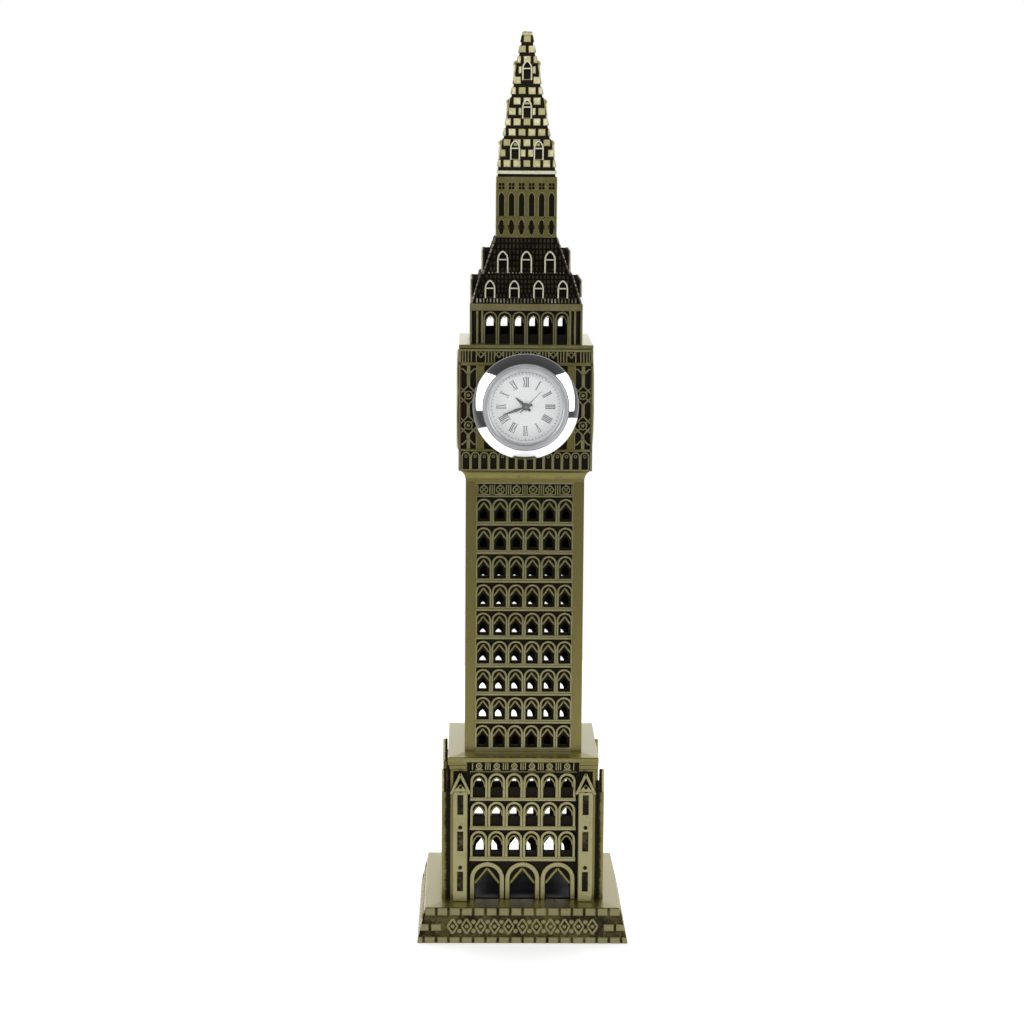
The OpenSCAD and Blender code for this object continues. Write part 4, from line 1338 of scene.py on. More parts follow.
@dataclass
class ClockStorey(Storey):
    """Clock storey: cove, blind arcade, traceried side panels and an upper frieze."""

    relief: float = 0.75
    wall: float = 2.0
    shaft_half: float = 20.2
    bore: float = 15.0
    arches: int = 14
    arch_pitch: float = 3.1
    sill: float = 162.3
    arcade_band: Span = (168.95, 169.75)
    mid: Span = (169.75, 198.2)
    frieze_band: Span = (198.2, 199.3)
    frieze: Span = (199.3, 202.95)
    frieze_pitch: float = 6.1
    frieze_ends: Sequence[float] = (18.5, 19.5, 20.5, 21.4)
    pilaster: Span = (14.0, 16.5)
    tracery_x: float = 19.4
    pearls: Span = (177.8, 188.1)
    pearl_ring: float = 1.55
    cove_steps: int = 5
    dial_r: float = 17.5
    dial_bare: float = 0.35
    hand_angles: Span = (312, 250)

    @property
    def dial_z(self) -> float:
        """Height of the middle of the dial."""
        return dial_height()

    def front(self) -> bpy.types.Object:
        """Builds the wall with everything but its clock or cast dial.

        Returns:
            The casting as one piece.
        """
        face, ground, back = layers(self.half, self.relief, self.wall)
        arcade = joined([
            arch(self.sill + 0.55, self.mid[0] - 0.85, self.arch_pitch / 2 + 0.1, 0.62, (face, ground + 0.05),
                 6, RING),
            loop(0.62, 0.36, (face + 0.15, ground + 0.05), self.mid[0] - 2.5, 0, 10),
        ])
        parts = [row(arcade, self.arches, self.arch_pitch)]
        wall = block((-self.half, self.half), (ground, back), (self.sill, self.top), 0, SUNK)
        parts.append(mitre(wall))
        bands = ((self.sill, self.sill + 0.6), self.arcade_band, self.frieze_band, (self.frieze[1], self.top))
        for low, high in bands:
            band = block((-self.half, self.half), (face, ground + 0.1), (low, high), 0.12, (0.2, 1.0))
            parts.append(mitre(band))
        parts += [mitre(p) for p in mirrored(block((self.half - 0.75, self.half), (face, ground + 0.1),
                                                   (self.sill + 0.6, self.top - 0.85), 0, (0.3, 1.0)))]
        parts += mirrored(block(self.pilaster, (face, ground + 0.1), self.mid, 0.15, (0.2, 0.7)))
        parts += mirrored(self.tracery(face, ground))
        parts += self.upper_frieze(face, ground)
        parts += self.cove()
        return joined(parts)

    def tracery(self, face: float, ground: float) -> bpy.types.Object:
        """Side panel: a stem with two ringed pearls, each in a diamond, and branches at the ends.

        Args:
            face: Depth of the wall's face.
            ground: Depth of its ground.

        Returns:
            The panel on the right.
        """
        x, y = self.tracery_x, (face, ground + 0.05)
        low, high = self.mid
        rings = self.pearls
        spans = ((low, rings[0] - 3.0), (rings[0] + 3.0, rings[1] - 3.0), (rings[1] + 3.0, high))
        parts = [block((x - 0.6, x + 0.6), y, span, 0.16) for span in spans]
        for z in rings:
            parts += [loop(self.pearl_ring, 0.5, y, z, x), boss(0.6, y, z, x, 10, (0.6, 1.1))]
            for side in (-1, 1):
                for up in (-1, 1):
                    parts.append(rod((x, z + up * 3.3), (x + side * 2.6, z + up * 0.7), 0.5, y))
                    parts.append(rod((x + side * 1.1, z + up * 1.1), (x + side * 2.7, z + up * 2.6), 0.4, y))
        for z, way in ((high - 3.2, 1), (low + 3.6, -1)):
            for side in (-1, 1):
                parts.append(rod((x, z), (x + side * 2.0, z + way * 2.1), 0.5, y))
                parts.append(rod((x + side * 2.0, z + way * 2.0), (x + side * 2.7, z + way * 2.0), 0.45, y))
        parts += [block((x - 2.95, x - 2.55), y, self.mid, 0.1),
                  block((x + 2.55, x + 2.95), y, self.mid, 0.1)]
        return joined(parts)

    def upper_frieze(self, face: float, ground: float) -> list[bpy.types.Object]:
        """Row of M-shaped traceries with double bars between and bars at the ends.

        Args:
            face: Depth of the wall's face.
            ground: Depth of its ground.

        Returns:
            The new pieces.
        """
        y, z = (face, ground + 0.05), self.frieze
        unit = joined([
            block((-1.75, -1.35), y, z, 0.1), block((1.35, 1.75), y, z, 0.1),
            *[rod((side * 1.45, z[1] - 0.2), (0, z[0] + 1.45), 0.4, y) for side in (-1, 1)],
            *[rod((side * 1.3, z[0] + 2.2), (side * 0.1, z[1] - 0.1), 0.3, y) for side in (-1, 1)],
        ])
        bars = joined([block((x - 0.2, x + 0.2), y, z, 0.1) for x in (-0.5, 0.5)])
        ends = joined([block((x - 0.2, x + 0.2), y, z, 0.1) for x in self.frieze_ends])
        return [row(unit, 6, self.frieze_pitch), row(bars, 5, self.frieze_pitch), *mirrored(ends)]

    def cove(self) -> list[bpy.types.Object]:
        """Hollow moulding from the shaft out to the clock storey, in steps.

        Returns:
            One ring for each step.
        """
        steps, rise, out = self.cove_steps, self.sill - self.foot, self.half - self.shaft_half
        parts = []
        for k in range(steps):
            a, b = math.pi / 2 * k / steps, math.pi / 2 * (k + 1) / steps
            widths = tuple(2 * (self.half - out * math.cos(t)) for t in (a, b))
            z = (self.foot + rise * math.sin(a), self.foot + rise * math.sin(b))
            ring = slab((widths[0] - 0.1, widths[1] - 0.1), z)
            parts.append(mitre(even(ring, 0.62 if k % 2 == 0 else 0.5)))
        return parts

    def build(self) -> list[bpy.types.Object]:
        """Builds the four walls: the clock's hole in the front one, a cast dial on the others.

        Returns:
            One wall for each side.
        """
        model = self.front()
        walls = []
        for side in Side:
            wall = twin(model)
            if side is Side.FRONT:
                wall = joined([bored(p, self.bore, self.dial_z) for p in loose(wall)])
            else:
                wall = joined([wall, self.cast_dial()])
            wall.data.transform(Matrix.Rotation(math.pi / 2 * side.value, 4, "Z"))
            node = self.cad_name(side)
            hand_over(wall, node + "_casting", "tower", BRASS, node)
            walls.append(wall)
        bpy.data.objects.remove(model)
        return walls

    def cast_dial(self) -> bpy.types.Object:
        """Dial cast in relief, with hour bars, hands and a boss.

        Returns:
            The dial as one piece.
        """
        face = -self.half
        dial = even(drum(self.dial_r, (face - 0.25, face + 1.0), self.dial_z, 0, 64), self.dial_bare)
        rings = []
        for radius, width in ((self.dial_r, 1.8), (10.6, 0.7)):
            bpy.ops.mesh.primitive_torus_add(
                major_radius=(radius - width / 2) * MM, minor_radius=width / 2 * MM, major_segments=64,
                minor_segments=8, rotation=(math.pi / 2, 0, 0),
                location=(0, (face - 0.2) * MM, self.dial_z * MM))
            bpy.context.object.scale = (1, 1, 0.55 / (width / 2))
            rings.append(tone(settle(), face - 0.8, face, (0.1, 1.0)))
        marks = []
        for hour in range(12):
            angle = math.radians(30 * hour)
            spot = (math.sin(angle), math.cos(angle))
            marks.append(rod((11.6 * spot[0], self.dial_z + 11.6 * spot[1]),
                             (15.0 * spot[0], self.dial_z + 15.0 * spot[1]), 1.1, (face - 0.65, face)))
        for angle, reach, width in zip(self.hand_angles, (7.5, 12.5), (1.6, 1.1)):
            spot = (math.sin(math.radians(angle)), math.cos(math.radians(angle)))
            marks.append(rod((-2 * spot[0], self.dial_z - 2 * spot[1]),
                             (reach * spot[0], self.dial_z + reach * spot[1]), width, (face - 0.7, face)))
        return joined([dial, *rings, *marks, boss(1.5, (face - 0.8, face), self.dial_z, 0, 24)])


def loose(piece: bpy.types.Object) -> list[bpy.types.Object]:
    """Parts a joined casting into its separate shells.

    Args:
        piece: The casting.

    Returns:
        Its shells as pieces of their own.
    """
    only(piece)
    bpy.ops.mesh.separate(type="LOOSE")
    return list(bpy.context.selected_objects)


def bored(piece: bpy.types.Object, radius: float, z: float) -> bpy.types.Object:
    """Cuts a round hole through the shells of the front wall that reach into it.

    Args:
        piece: One shell of the wall.
        radius: Radius of the hole.
        z: Height of the hole's middle.

    Returns:
        The shell, cut if it reaches into the hole.
    """
    corners = [v.co / MM for v in piece.data.vertices]
    near = min(abs(c.x) for c in corners)
    if min(c.x for c in corners) * max(c.x for c in corners) < 0:
        near = 0.0
    low, high = min(c.z for c in corners), max(c.z for c in corners)
    drop = max(low - z, z - high, 0.0)
    if math.hypot(near, drop) < radius:
        through = (-30, -15)
        combine(piece, drum(radius, through, z, 0, 96))
    return piece


@dataclass
class Cornice(Storey):
    """Flat cornice over the clock storey."""

    neck_h: float = 0.3
    neck_in: float = 0.6
    plate_bare: float = 0.85
    neck_bare: float = 0.1

    def build(self) -> list[bpy.types.Object]:
        """Builds the plate with a rounded edge and a shadow line under it.

        Returns:
            The cornice in a list.
        """
        width = 2 * self.half
        plate = slab((width, width), (self.foot + 0.25, self.top), 0.2)
        inner = width - 2 * self.neck_in
        neck = slab((inner, inner), (self.foot, self.foot + self.neck_h))
        piece = joined([even(plate, self.plate_bare), even(neck, self.neck_bare)])
        hand_over(piece, "cornice_casting", "tower", BRASS, self.node)
        return [piece]


@dataclass
class Belfry(Storey):
    """Open belfry with six arches a side and clustered shafts at the corners."""

    bays: int = 6
    pitch: float = 4.85
    relief: float = 0.8
    wall: float = 1.8
    head: float = 2.4
    opening: float = 2.7
    shaft_w: float = 0.7

    def front(self) -> bpy.types.Object:
        """Builds the front wall.

        Returns:
            The casting as one piece.
        """
        face, ground, back = layers(self.half, self.relief, self.wall)
        head = self.top - self.head
        hole = lancet(self.foot + 3.1, head - 1.5, self.opening, (ground - 1, back + 1))
        plate = block((-self.pitch / 2, self.pitch / 2), (ground, back), (self.foot, head + 0.1), 0, SUNK)
        combine(plate, hole)
        rib = arch(self.foot, head - 0.15, self.pitch / 2 - 0.05, 0.6, (face, ground + 0.05), 8)
        point = peak(head - 1.7, self.opening, 0.4, (face + 0.35, ground + 0.1), 3, (0.0, 0.8))
        cusp = loop(0.5, 0.28, (face + 0.35, ground + 0.1), head - 1.9, 0, 8)
        parts = [row(joined([plate, rib, point, cusp]), self.bays, self.pitch)]
        edge = self.bays * self.pitch / 2
        parts += [mitre(block((-self.half, self.half), (face, back), (head, self.top), 0.1, (0.3, 0.9)))]
        flank = block((edge, self.half), (ground, back), (self.foot, head), 0, SUNK)
        parts += [mitre(p) for p in mirrored(flank)]
        thin = self.shaft_w / 2
        for x in (edge + thin, edge + 2.0, self.half - thin):
            shafts = mirrored(block((x - thin, x + thin), (face, ground + 0.1), (self.foot, head), 0.15))
            parts += [mitre(p) for p in shafts] if x > edge + 3 else shafts
        return joined(parts)


@dataclass
class Roof(Storey):
    """Shingled roof with ribbed hips, a ribbed foot course and a row of gabled windows."""

    windows: int = 4
    window_pitch: float = 8.2
    window_z: float = 1.9
    window_w: float = 3.7
    eaves: float = 3.4
    top_half: float = 15.5
    rows: int = 5
    foot_course: float = 1.9
    foot_bare: float = 0.8
    shell: float = 3.4
    tile_pitch: float = 1.3
    tile_half: float = 0.42
    rib_pitch: float = 1.15
    rib_half: float = 0.3
    hip_half: float = 0.35
    hip_ribs: int = 7

    def finish(self) -> Patinated:
        """Finish of the casting."""
        return ROOF

    def front(self) -> bpy.types.Object:
        """Builds the front quarter.

        Returns:
            The casting as one piece.
        """
        base = self.half - 0.55
        z0, z1 = self.foot, self.top
        height, inward = z1 - z0, base - self.top_half
        core = slab((2 * base, 2 * self.top_half), (z0, z1))
        inside = (2 * (base - self.shell), 2 * (self.top_half - self.shell))
        combine(core, slab(inside, (z0 - 0.01, z1 + 0.01)))
        parts = [mitre(even(core, 0.1))]
        shingles = []
        rise = (height - self.foot_course) / self.rows
        for k in range(self.rows):
            low = z0 + self.foot_course + k * rise
            reach = base - inward * (low - z0) / height - 0.4
            count = int(2 * reach / self.tile_pitch)
            tile = block((-self.tile_half, self.tile_half), (-base - 0.3, -base + 0.3),
                         (low + 0.12, low + rise - 0.3), 0.12, (-0.1, 0.42))
            shift = self.tile_pitch / 4
            shingles.append(moved(row(tile, count, self.tile_pitch), x=shift if k % 2 else -shift))
        ribs = block((-self.rib_half, self.rib_half), (-base - 0.45, -base + 0.3),
                     (z0 + 0.1, z0 + self.foot_course - 0.2), 0.12, (0.1, self.foot_bare))
        shingles.append(row(ribs, int(2 * base / self.rib_pitch), self.rib_pitch))
        span, count = (-self.hip_half, self.hip_half), self.hip_ribs
        hip = joined([block(span, span, (z0 + k * height / count, z0 + (k + 0.82) * height / count), 0.1,
                            (0.3, 0.8)) for k in range(count)])
        slope = leaned(joined(shingles), -base, z0, inward, height)
        parts.append(mitre_loose(slope))
        hip.data.transform(Matrix.Translation(Vector((0, -base * math.sqrt(2) + 0.1, 0)) * MM))
        leaned(hip, -base * math.sqrt(2), z0, inward * math.sqrt(2), height)
        hip.data.transform(Matrix.Rotation(math.radians(45), 4, "Z"))
        parts.append(hip)
        window = gabled_window(self.window_w, self.eaves, -self.half, self.window_depth())
        parts.append(moved(row(window, self.windows, self.window_pitch), z=z0 + self.window_z))
        return joined(parts)

    def window_depth(self) -> float:
        """How far a window's cheeks go back to meet the slope."""
        return self.half - self.top_half + 0.6


def mitre_loose(piece: bpy.types.Object) -> bpy.types.Object:
    """Drops the shells of a slope that reach past the corner mitres.

    Args:
        piece: The slope.

    Returns:
        What is left of it.
    """
    keep = []
    for shell in loose(piece):
        corners = [v.co for v in shell.data.vertices]
        if max(abs(c.x) + c.y for c in corners) < -0.3 * MM:
            keep.append(shell)
        else:
            bpy.data.objects.remove(shell)
    return joined(keep)


def gabled_window(width: float, eaves: float, face: float, depth: float) -> bpy.types.Object:
    """Pointed window: pale frame with a cross-bar, filled behind by a solid block painted near-black as the
    shade of an open window, with cheeks that run back to the roof.

    Args:
        width: Width of the frame.
        eaves: Height of the frame's uprights.
        face: Depth of its front plane.
        depth: How far its cheeks run back.

    Returns:
        The new piece, standing on z = 0.
    """
    half, rib, levels = width / 2, width * 0.165, (0.3, 1.2)
    y = (face, face + 1.05)
    clear = width - 2 * rib
    inner = eaves + clear * math.sin(POINTED)
    frame_parts = [
        peak(inner, clear, rib, y, 3, levels, eaves),
        block((-half + rib, half - rib), (face + 0.1, face + 1), (eaves - 0.35, eaves + 0.1), 0.08, levels),
        block((-half + rib, half - rib), (face + 0.2, face + 1), (0, 0.35), 0.05, (0.1, 0.6)),
    ]
    # Painted shade: this block, near-black all over, fills the window where the shaded opening would be.
    shell = lancet(0, inner + rib * 0.8, width - 0.3, (face + 0.95, face + depth))
    return joined([*frame_parts, even(shell, 0.06)])


@dataclass
class Lantern(Storey):
    """Lantern with small panes, tall lancets and double-pointed slots."""

    bays: int = 6
    pitch: float = 3.4
    relief: float = 0.55
    wall: float = 1.6
    head: float = 4.6
    lancet_z: Span = (7.3, 15.1)
    slot_z: Span = (3.5, 6.2)
    slot_turn: float = 3.55
    pane_z: Span = (16.3, 18.4)
    pane_half: float = 0.95
    bar_half: float = 0.16
    rib_bare: Span = (0.3, 1.1)

    def front(self) -> bpy.types.Object:
        """Builds the front wall.

        Returns:
            The casting as one piece.
        """
        face, ground, back = layers(self.half, self.relief, self.wall)
        z0 = self.foot
        width, deep = self.pitch / 2, (face - 1, ground + 0.2)
        low, high = (z0 + v for v in self.slot_z)
        plate = block((-width, width), (face + 0.12, back), (z0, self.top - self.head))
        for hole in (lancet(z0 + self.lancet_z[0], z0 + self.lancet_z[1], 1.8, deep),
                     lancet(low, high, 1.5, deep),
                     turned_down(lancet(low, high, 1.5, deep), z0 + self.slot_turn)):
            combine(plate, hole)
        tone(plate, face + 0.12, ground + 0.1, (0.02, 0.68))
        rib = peak(z0 + 15.2, 1.75, 0.42, (face, ground + 0.05), 3, self.rib_bare, 7.4)
        slot = peak(z0 + 6.1, 1.5, 0.34, (face, ground + 0.05), 3, self.rib_bare, 2.0)
        foot = turned_down(twin(slot), z0 + self.slot_turn)
        bay = row(joined([plate, rib, slot, foot]), self.bays, self.pitch)
        bands = [block((-self.half, self.half), (face, back), span, 0.1, (0.1, 0.8))
                 for span in ((z0, z0 + 0.7), (z0 + 6.5, z0 + 7.2))]
        parts = [clipped(bay), *[mitre(band) for band in bands]]
        top = self.top - self.head
        pane_z = (z0 + self.pane_z[0], z0 + self.pane_z[1])
        pane_x, bar_x = (-self.pane_half, self.pane_half), (-self.bar_half, self.bar_half)
        head = block((-self.half, self.half), (face, back), (top, self.top), 0, PLAIN)
        holes = row(block(pane_x, (face - 1, face + 0.7), pane_z), self.bays, self.pitch)
        combine(head, holes)
        parts.append(mitre(tone(head, face, face + 0.5, (0.0, 0.8))))
        bar_y, middle = (face + 0.2, face + 0.75), sum(pane_z) / 2
        crosses = joined([block(bar_x, bar_y, pane_z, 0.05, (0, 0.7)),
                          block(pane_x, bar_y, (middle - self.bar_half, middle + self.bar_half), 0.05,
                                (0, 0.7))])
        parts.append(row(crosses, self.bays, self.pitch))
        corner = block((self.half - 0.35, self.half), (face, back), (z0, top), 0, (0.4, 0.9))
        return joined(parts + [mitre(p) for p in mirrored(corner)])


def turned_down(piece: bpy.types.Object, middle: float) -> bpy.types.Object:
    """Mirrors a piece about a height, in place.

    Args:
        piece: The piece to turn.
        middle: The height that stays where it is.

    Returns:
        The piece.
    """
    about = Vector((0, 0, middle)) * MM
    flip = Matrix.Translation(about) @ Matrix.Scale(-1, 4, (0, 0, 1)) @ Matrix.Translation(-about)
    piece.data.transform(flip)
    piece.data.flip_normals()
    return piece


def clipped(piece: bpy.types.Object) -> bpy.types.Object:
    """Trims each shell of a row that reaches past the corner mitres.

    Args:
        piece: The row.

    Returns:
        What is left of it.
    """
    trimmed = []
    for shell in loose(piece):
        corners = [v.co for v in shell.data.vertices]
        if max(abs(c.x) + c.y for c in corners) > -NEAR:
            mitre(shell)
        if shell.data.polygons:
            trimmed.append(shell)
        else:
            bpy.data.objects.remove(shell)
    return joined(trimmed)


@dataclass
class Spire(Storey):
    """Brick spire on a moulded foot, with three levels of gabled windows."""

    foot_h: float = 2.3
    top_half: float = 1.9
    courses: int = 13
    brick: float = 3.35
    joint: float = 0.85
    brick_h: Span = (0.9, 0.1)
    brick_chamfer: float = 0.22
    least: float = 0.55
    window_w: float = 3.5
    window_half: float = 1.75
    window_pitch: float = 8.0
    window_span: Span = (-0.6, 5.7)
    eaves: float = 4.0
    cheeks: float = 3.2
    levels: Sequence[tuple[float, int]] = ((0.075, 2), (0.38, 1), (0.665, 1))

    def finish(self) -> Patinated:
        """Finish of the casting."""
        return SPIRE

    def front(self) -> bpy.types.Object:
        """Builds the front quarter.

        Returns:
            The casting as one piece.
        """
        base, z0 = self.half - 0.5, self.foot + self.foot_h
        height, inward = self.top - z0, base - self.top_half + 0.45
        core = slab((2 * base, 2 * (base - inward)), (z0 - 0.02, self.top - 0.02))
        parts = [mitre(even(core, 0.02))]
        rise = height / self.courses
        bricks, windows = [], []
        for share, count in self.levels:
            foot = z0 + share * height
            windows += [(self.window_pitch / 2 * (2 * n - count + 1), foot) for n in range(count)]
        for k in range(self.courses):
            low = z0 + k * rise
            reach = base - inward * (low + rise / 2 - z0) / height + 0.42
            for n in range(-4, 5):
                x = (n + (0.5 if k % 2 else 0.0)) * self.brick
                left = max(x - (self.brick - self.joint) / 2, -reach)
                right = min(x + (self.brick - self.joint) / 2, reach)
                middle = low + rise / 2 + 0.4
                for at, foot in windows:
                    beside = self.window_span[0] < middle - foot < self.window_span[1]
                    if beside and left + right < 2 * at - 0.1:
                        right = min(right, at - self.window_half)
                    elif beside:
                        left = max(left, at + self.window_half)
                if right - left > self.least:
                    bare = 0.8 - 0.25 * ((3 * n + 5 * k) % 4 == 0)
                    bricks.append(block((left, right), (-base - 0.5, -base + 0.1),
                                        (low + self.brick_h[0], low + rise - self.brick_h[1]),
                                        self.brick_chamfer, (-0.3, bare)))
        slope = leaned(joined(bricks), -base, z0, inward, height)
        parts.append(joined([mitre(p) for p in loose(slope)]))
        for share, count in self.levels:
            face = -(base - inward * share) - 0.45
            window = gabled_window(self.window_w, self.eaves, face, self.cheeks)
            parts.append(moved(row(window, count, self.window_pitch), z=z0 + share * height))
        fillet = slab((2 * self.half, 2 * self.half), (self.foot + 1.0, z0 - 0.15), 0.15)
        groove = slab((2 * self.half - 1.0, 2 * self.half - 1.0), (self.foot, z0))
        parts += [mitre(even(fillet, 1.0)), mitre(even(groove, 0.0))]
        return joined(parts)


@dataclass
class SpireCap(Storey):
    """Rounded cap on the spire."""

    narrowing: float = 0.6
    rounding: float = 0.55
    bare: float = 0.74

    def build(self) -> list[bpy.types.Object]:
        """Builds the cap with soft edges.

        Returns:
            The cap in a list.
        """
        piece = slab((2 * self.half, 2 * self.half - self.narrowing), (self.foot, self.top))
        with picked(piece, on_top):
            bpy.ops.mesh.bevel(offset=self.rounding * MM, segments=3, affect="EDGES")
        hand_over(even(piece, self.bare), "spire_cap_casting", "tower", SPIRE, self.node)
        return [piece]


# ---- Clock insert ----


@dataclass
class ClockInsert:
    """Bezel, printed dial and hands of the push-in clock, in depths from the wall face."""

    wall: float = field(init=False)
    centre: float = field(init=False)
    bezel_r: float = 18.0
    sight_r: float = 12.7
    lip_r: float = 14.35
    case_r: float = 14.6
    skirt_r: float = 13.78
    inner_r: float = 13.06
    bezel_h: float = 3.6
    dial_r: float = 13.0
    hub_r: float = 1.15
    numeral_r: Span = (6.7, 9.9)
    numeral_w: Sequence[tuple[str, float]] = (("I", 0.56), ("V", 1.05), ("X", 1.05))
    thick: float = 0.36
    thin: float = 0.18
    tick_r: Span = (11.0, 11.6)
    track_r: Span = (11.62, 11.7)
    ink: Span = (-0.03, 0.01)

    def __post_init__(self) -> None:
        """Takes the wall face and the dial's height from the CAD nodes."""
        self.wall, self.centre = -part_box("clock_wall_front")[0][1] / MM, dial_height()

    def lathe(self, profile: Sequence[Point], steps: int) -> bpy.types.Object:
        """Spins a closed profile round the dial's axis.

        Args:
            profile: Corners as radius and height out of the wall.
            steps: Segments round the axis.

        Returns:
            The new piece.
        """
        radius, out = profile[0]
        hub = (0, -(self.wall + out) * MM, self.centre * MM)
        bpy.ops.mesh.primitive_circle_add(vertices=steps, radius=radius * MM, location=hub,
                                          rotation=(math.pi / 2, 0, 0))
        piece = settle()
        bpy.ops.object.mode_set(mode="EDIT")
        bpy.ops.mesh.select_mode(type="EDGE")
        bpy.ops.mesh.select_all(action="SELECT")
        last = profile[0]
        for corner in [*profile[1:], profile[0]]:
            step = (0, -(corner[1] - last[1]) * MM, 0)
            bpy.ops.mesh.extrude_edges_move(TRANSFORM_OT_translate={"value": step})
            scale = corner[0] / last[0]
            bpy.ops.transform.resize(value=(scale, 1, scale),
                                     center_override=(0, -(self.wall + corner[1]) * MM, self.centre * MM))
            last = corner
        bpy.ops.object.mode_set(mode="OBJECT")
        return mended(piece)

    def bezel(self) -> None:
        """Chrome cone with a satin lip round the crystal."""
        skirt, inner, h = self.skirt_r, self.inner_r, self.bezel_h
        cone = self.lathe([(self.case_r, 0), (17.7, 0), (self.bezel_r, 0.2), (self.bezel_r, 0.6),
                           (17.75, 0.9), (14.75, h - 0.75), (self.lip_r, h - 0.7), (13.9, h - 0.7),
                           (inner, h - 0.75), (inner, -1.2), (skirt, -1.2), (skirt, 0)], 160)
        lip = self.lathe([(self.lip_r, h - 0.9), (self.lip_r, h - 0.25), (self.lip_r - 0.25, h - 0.02),
                          (self.sight_r + 0.35, h), (self.sight_r, h - 0.3), (self.sight_r, h - 0.6),
                          (13.0, h - 0.6), (13.0, h - 0.9)], 160)
        hand_over(cone, "bezel_cone", "clock_insert", CHROME, "bezel", angle=25)
        hand_over(lip, "bezel_lip", "clock_insert", SATIN, angle=25, slot="bezel_chrome")

    def dial(self) -> None:
        """White dial with printed Roman numerals and a minute track."""
        hub, rim = self.hub_r, self.dial_r
        plate = self.lathe([(hub, -0.4), (rim, -0.4), (rim, -0.02), (rim - 0.1, 0.0), (1.25, 0.0),
                            (hub, -0.05)], 96)
        hand_over(plate, "dial_plate", "clock_insert", WHITE, "dial", angle=25)
        y = (-self.wall + self.ink[0], -self.wall + self.ink[1])
        marks = []
        for minute in range(60):
            angle = math.radians(6 * minute)
            wide = 0.22 if minute % 5 == 0 else 0.12
            marks.append(rod(self.polar(angle, self.tick_r[0]), self.polar(angle, self.tick_r[1]), wide, y))
        for hour, strokes in enumerate("XII I II III IIII V VI VII VIII IX X XI".split()):
            marks += self.numeral(math.radians(30 * hour), strokes, y)
        inner, outer = self.track_r
        track = self.lathe([(inner, 0.0), (outer, 0.0), (outer, 0.03), (inner, 0.03)], 96)
        printed = joined([*marks, track])
        hand_over(printed, "dial_print", "clock_insert", PRINT, slot="dial_white")

    def polar(self, angle: float, radius: float) -> Point:
        """Point on the dial at a clock angle and radius."""
        return (math.sin(angle) * radius, self.centre + math.cos(angle) * radius)

    def turned(self, angle: float) -> Matrix:
        """Turn about the dial's axis by a clock angle in radians."""
        hub = Vector((0, 0, self.centre)) * MM
        return Matrix.Translation(hub) @ Matrix.Rotation(angle, 4, "Y") @ Matrix.Translation(-hub)

    def numeral(self, angle: float, strokes: str, y: Span) -> list[bpy.types.Object]:
        """Roman numeral with its foot towards the hub.

        Args:
            angle: Its clock angle in radians.
            strokes: Its letters.
            y: Front and back of the ink.

        Returns:
            Its strokes and its two serif bars.
        """
        widths = dict(self.numeral_w)
        total = sum(widths[s] for s in strokes)
        cursor = -total / 2
        parts = []
        z = (self.centre + self.numeral_r[0], self.centre + self.numeral_r[1])
        for letter in strokes:
            w = widths[letter]
            a, b, c = cursor + 0.15, cursor + w - 0.15, cursor + w / 2
            if letter == "I":
                parts.append(block((c - 0.18, c + 0.18), y, z))
            elif letter == "V":
                parts += [rod((a, z[1]), (c, z[0]), self.thick, y), rod((b, z[1]), (c, z[0]), self.thin, y)]
            else:
                parts += [rod((a, z[1]), (b, z[0]), self.thick, y), rod((b, z[1]), (a, z[0]), self.thin, y)]
            cursor += w
        parts += [block((-total / 2, total / 2), y, (end - 0.06, end + 0.06)) for end in z]
        for part in parts:
            part.data.transform(self.turned(angle))
        return parts

    def hand(self, name: str, node: str, body: str, angle: float, stations: Sequence[Point], hub: float,
             out: Span) -> None:
        """Leaf-shaped hand with a raised middle line.

        Args:
            name: Name of the new piece.
            node: CAD node that it stands for.
            body: Body it rides on.
            angle: Clock angle in degrees.
            stations: Distance from the hub and width, from tail to tip.
            hub: Radius of the boss.
            out: Back and front height over the wall face.
        """
        back, front = (-(self.wall + v) for v in out)
        y = (front, back)
        parts = []
        for (d0, w0), (d1, w1) in zip(stations, stations[1:]):
            leaf = block((-w0 / 2, w0 / 2), y, (self.centre + d0, self.centre + d1))
            with picked(leaf, on_top):
                bpy.ops.transform.resize(value=(w1 / w0, 1, 1), center_override=(0, back * MM, 0))
            with picked(leaf, in_front):
                bpy.ops.transform.resize(value=(0.5, 1, 1), center_override=(0, front * MM, 0))
            parts.append(leaf)
        piece = joined([*parts, drum(hub, y, self.centre, 0, 32)])
        piece.data.transform(self.turned(math.radians(angle)))
        hand_over(piece, name, body, HANDS, node)

    def build(self) -> None:
        """Builds everything that shows of the clock."""
        self.bezel()
        self.dial()
        self.hand("hour_hand_leaf", "hour_hand", "hours", 312,
                  ((-2.1, 1.0), (0, 0.6), (1.9, 1.15), (4.6, 0.25)), 1.3, (0.25, 0.45))
        self.hand("minute_hand_leaf", "minute_hand", "minutes", 250,
                  ((-2.3, 1.0), (0, 0.6), (3.4, 1.0), (8.3, 0.28)), 1.0, (0.75, 0.92))
        self.hand("second_hand_needle", "second_hand", "seconds", 45,
                  ((-2.7, 0.36), (0, 0.28), (7.5, 0.16)), 0.65, (1.25, 1.38))


# ---- Studio ----


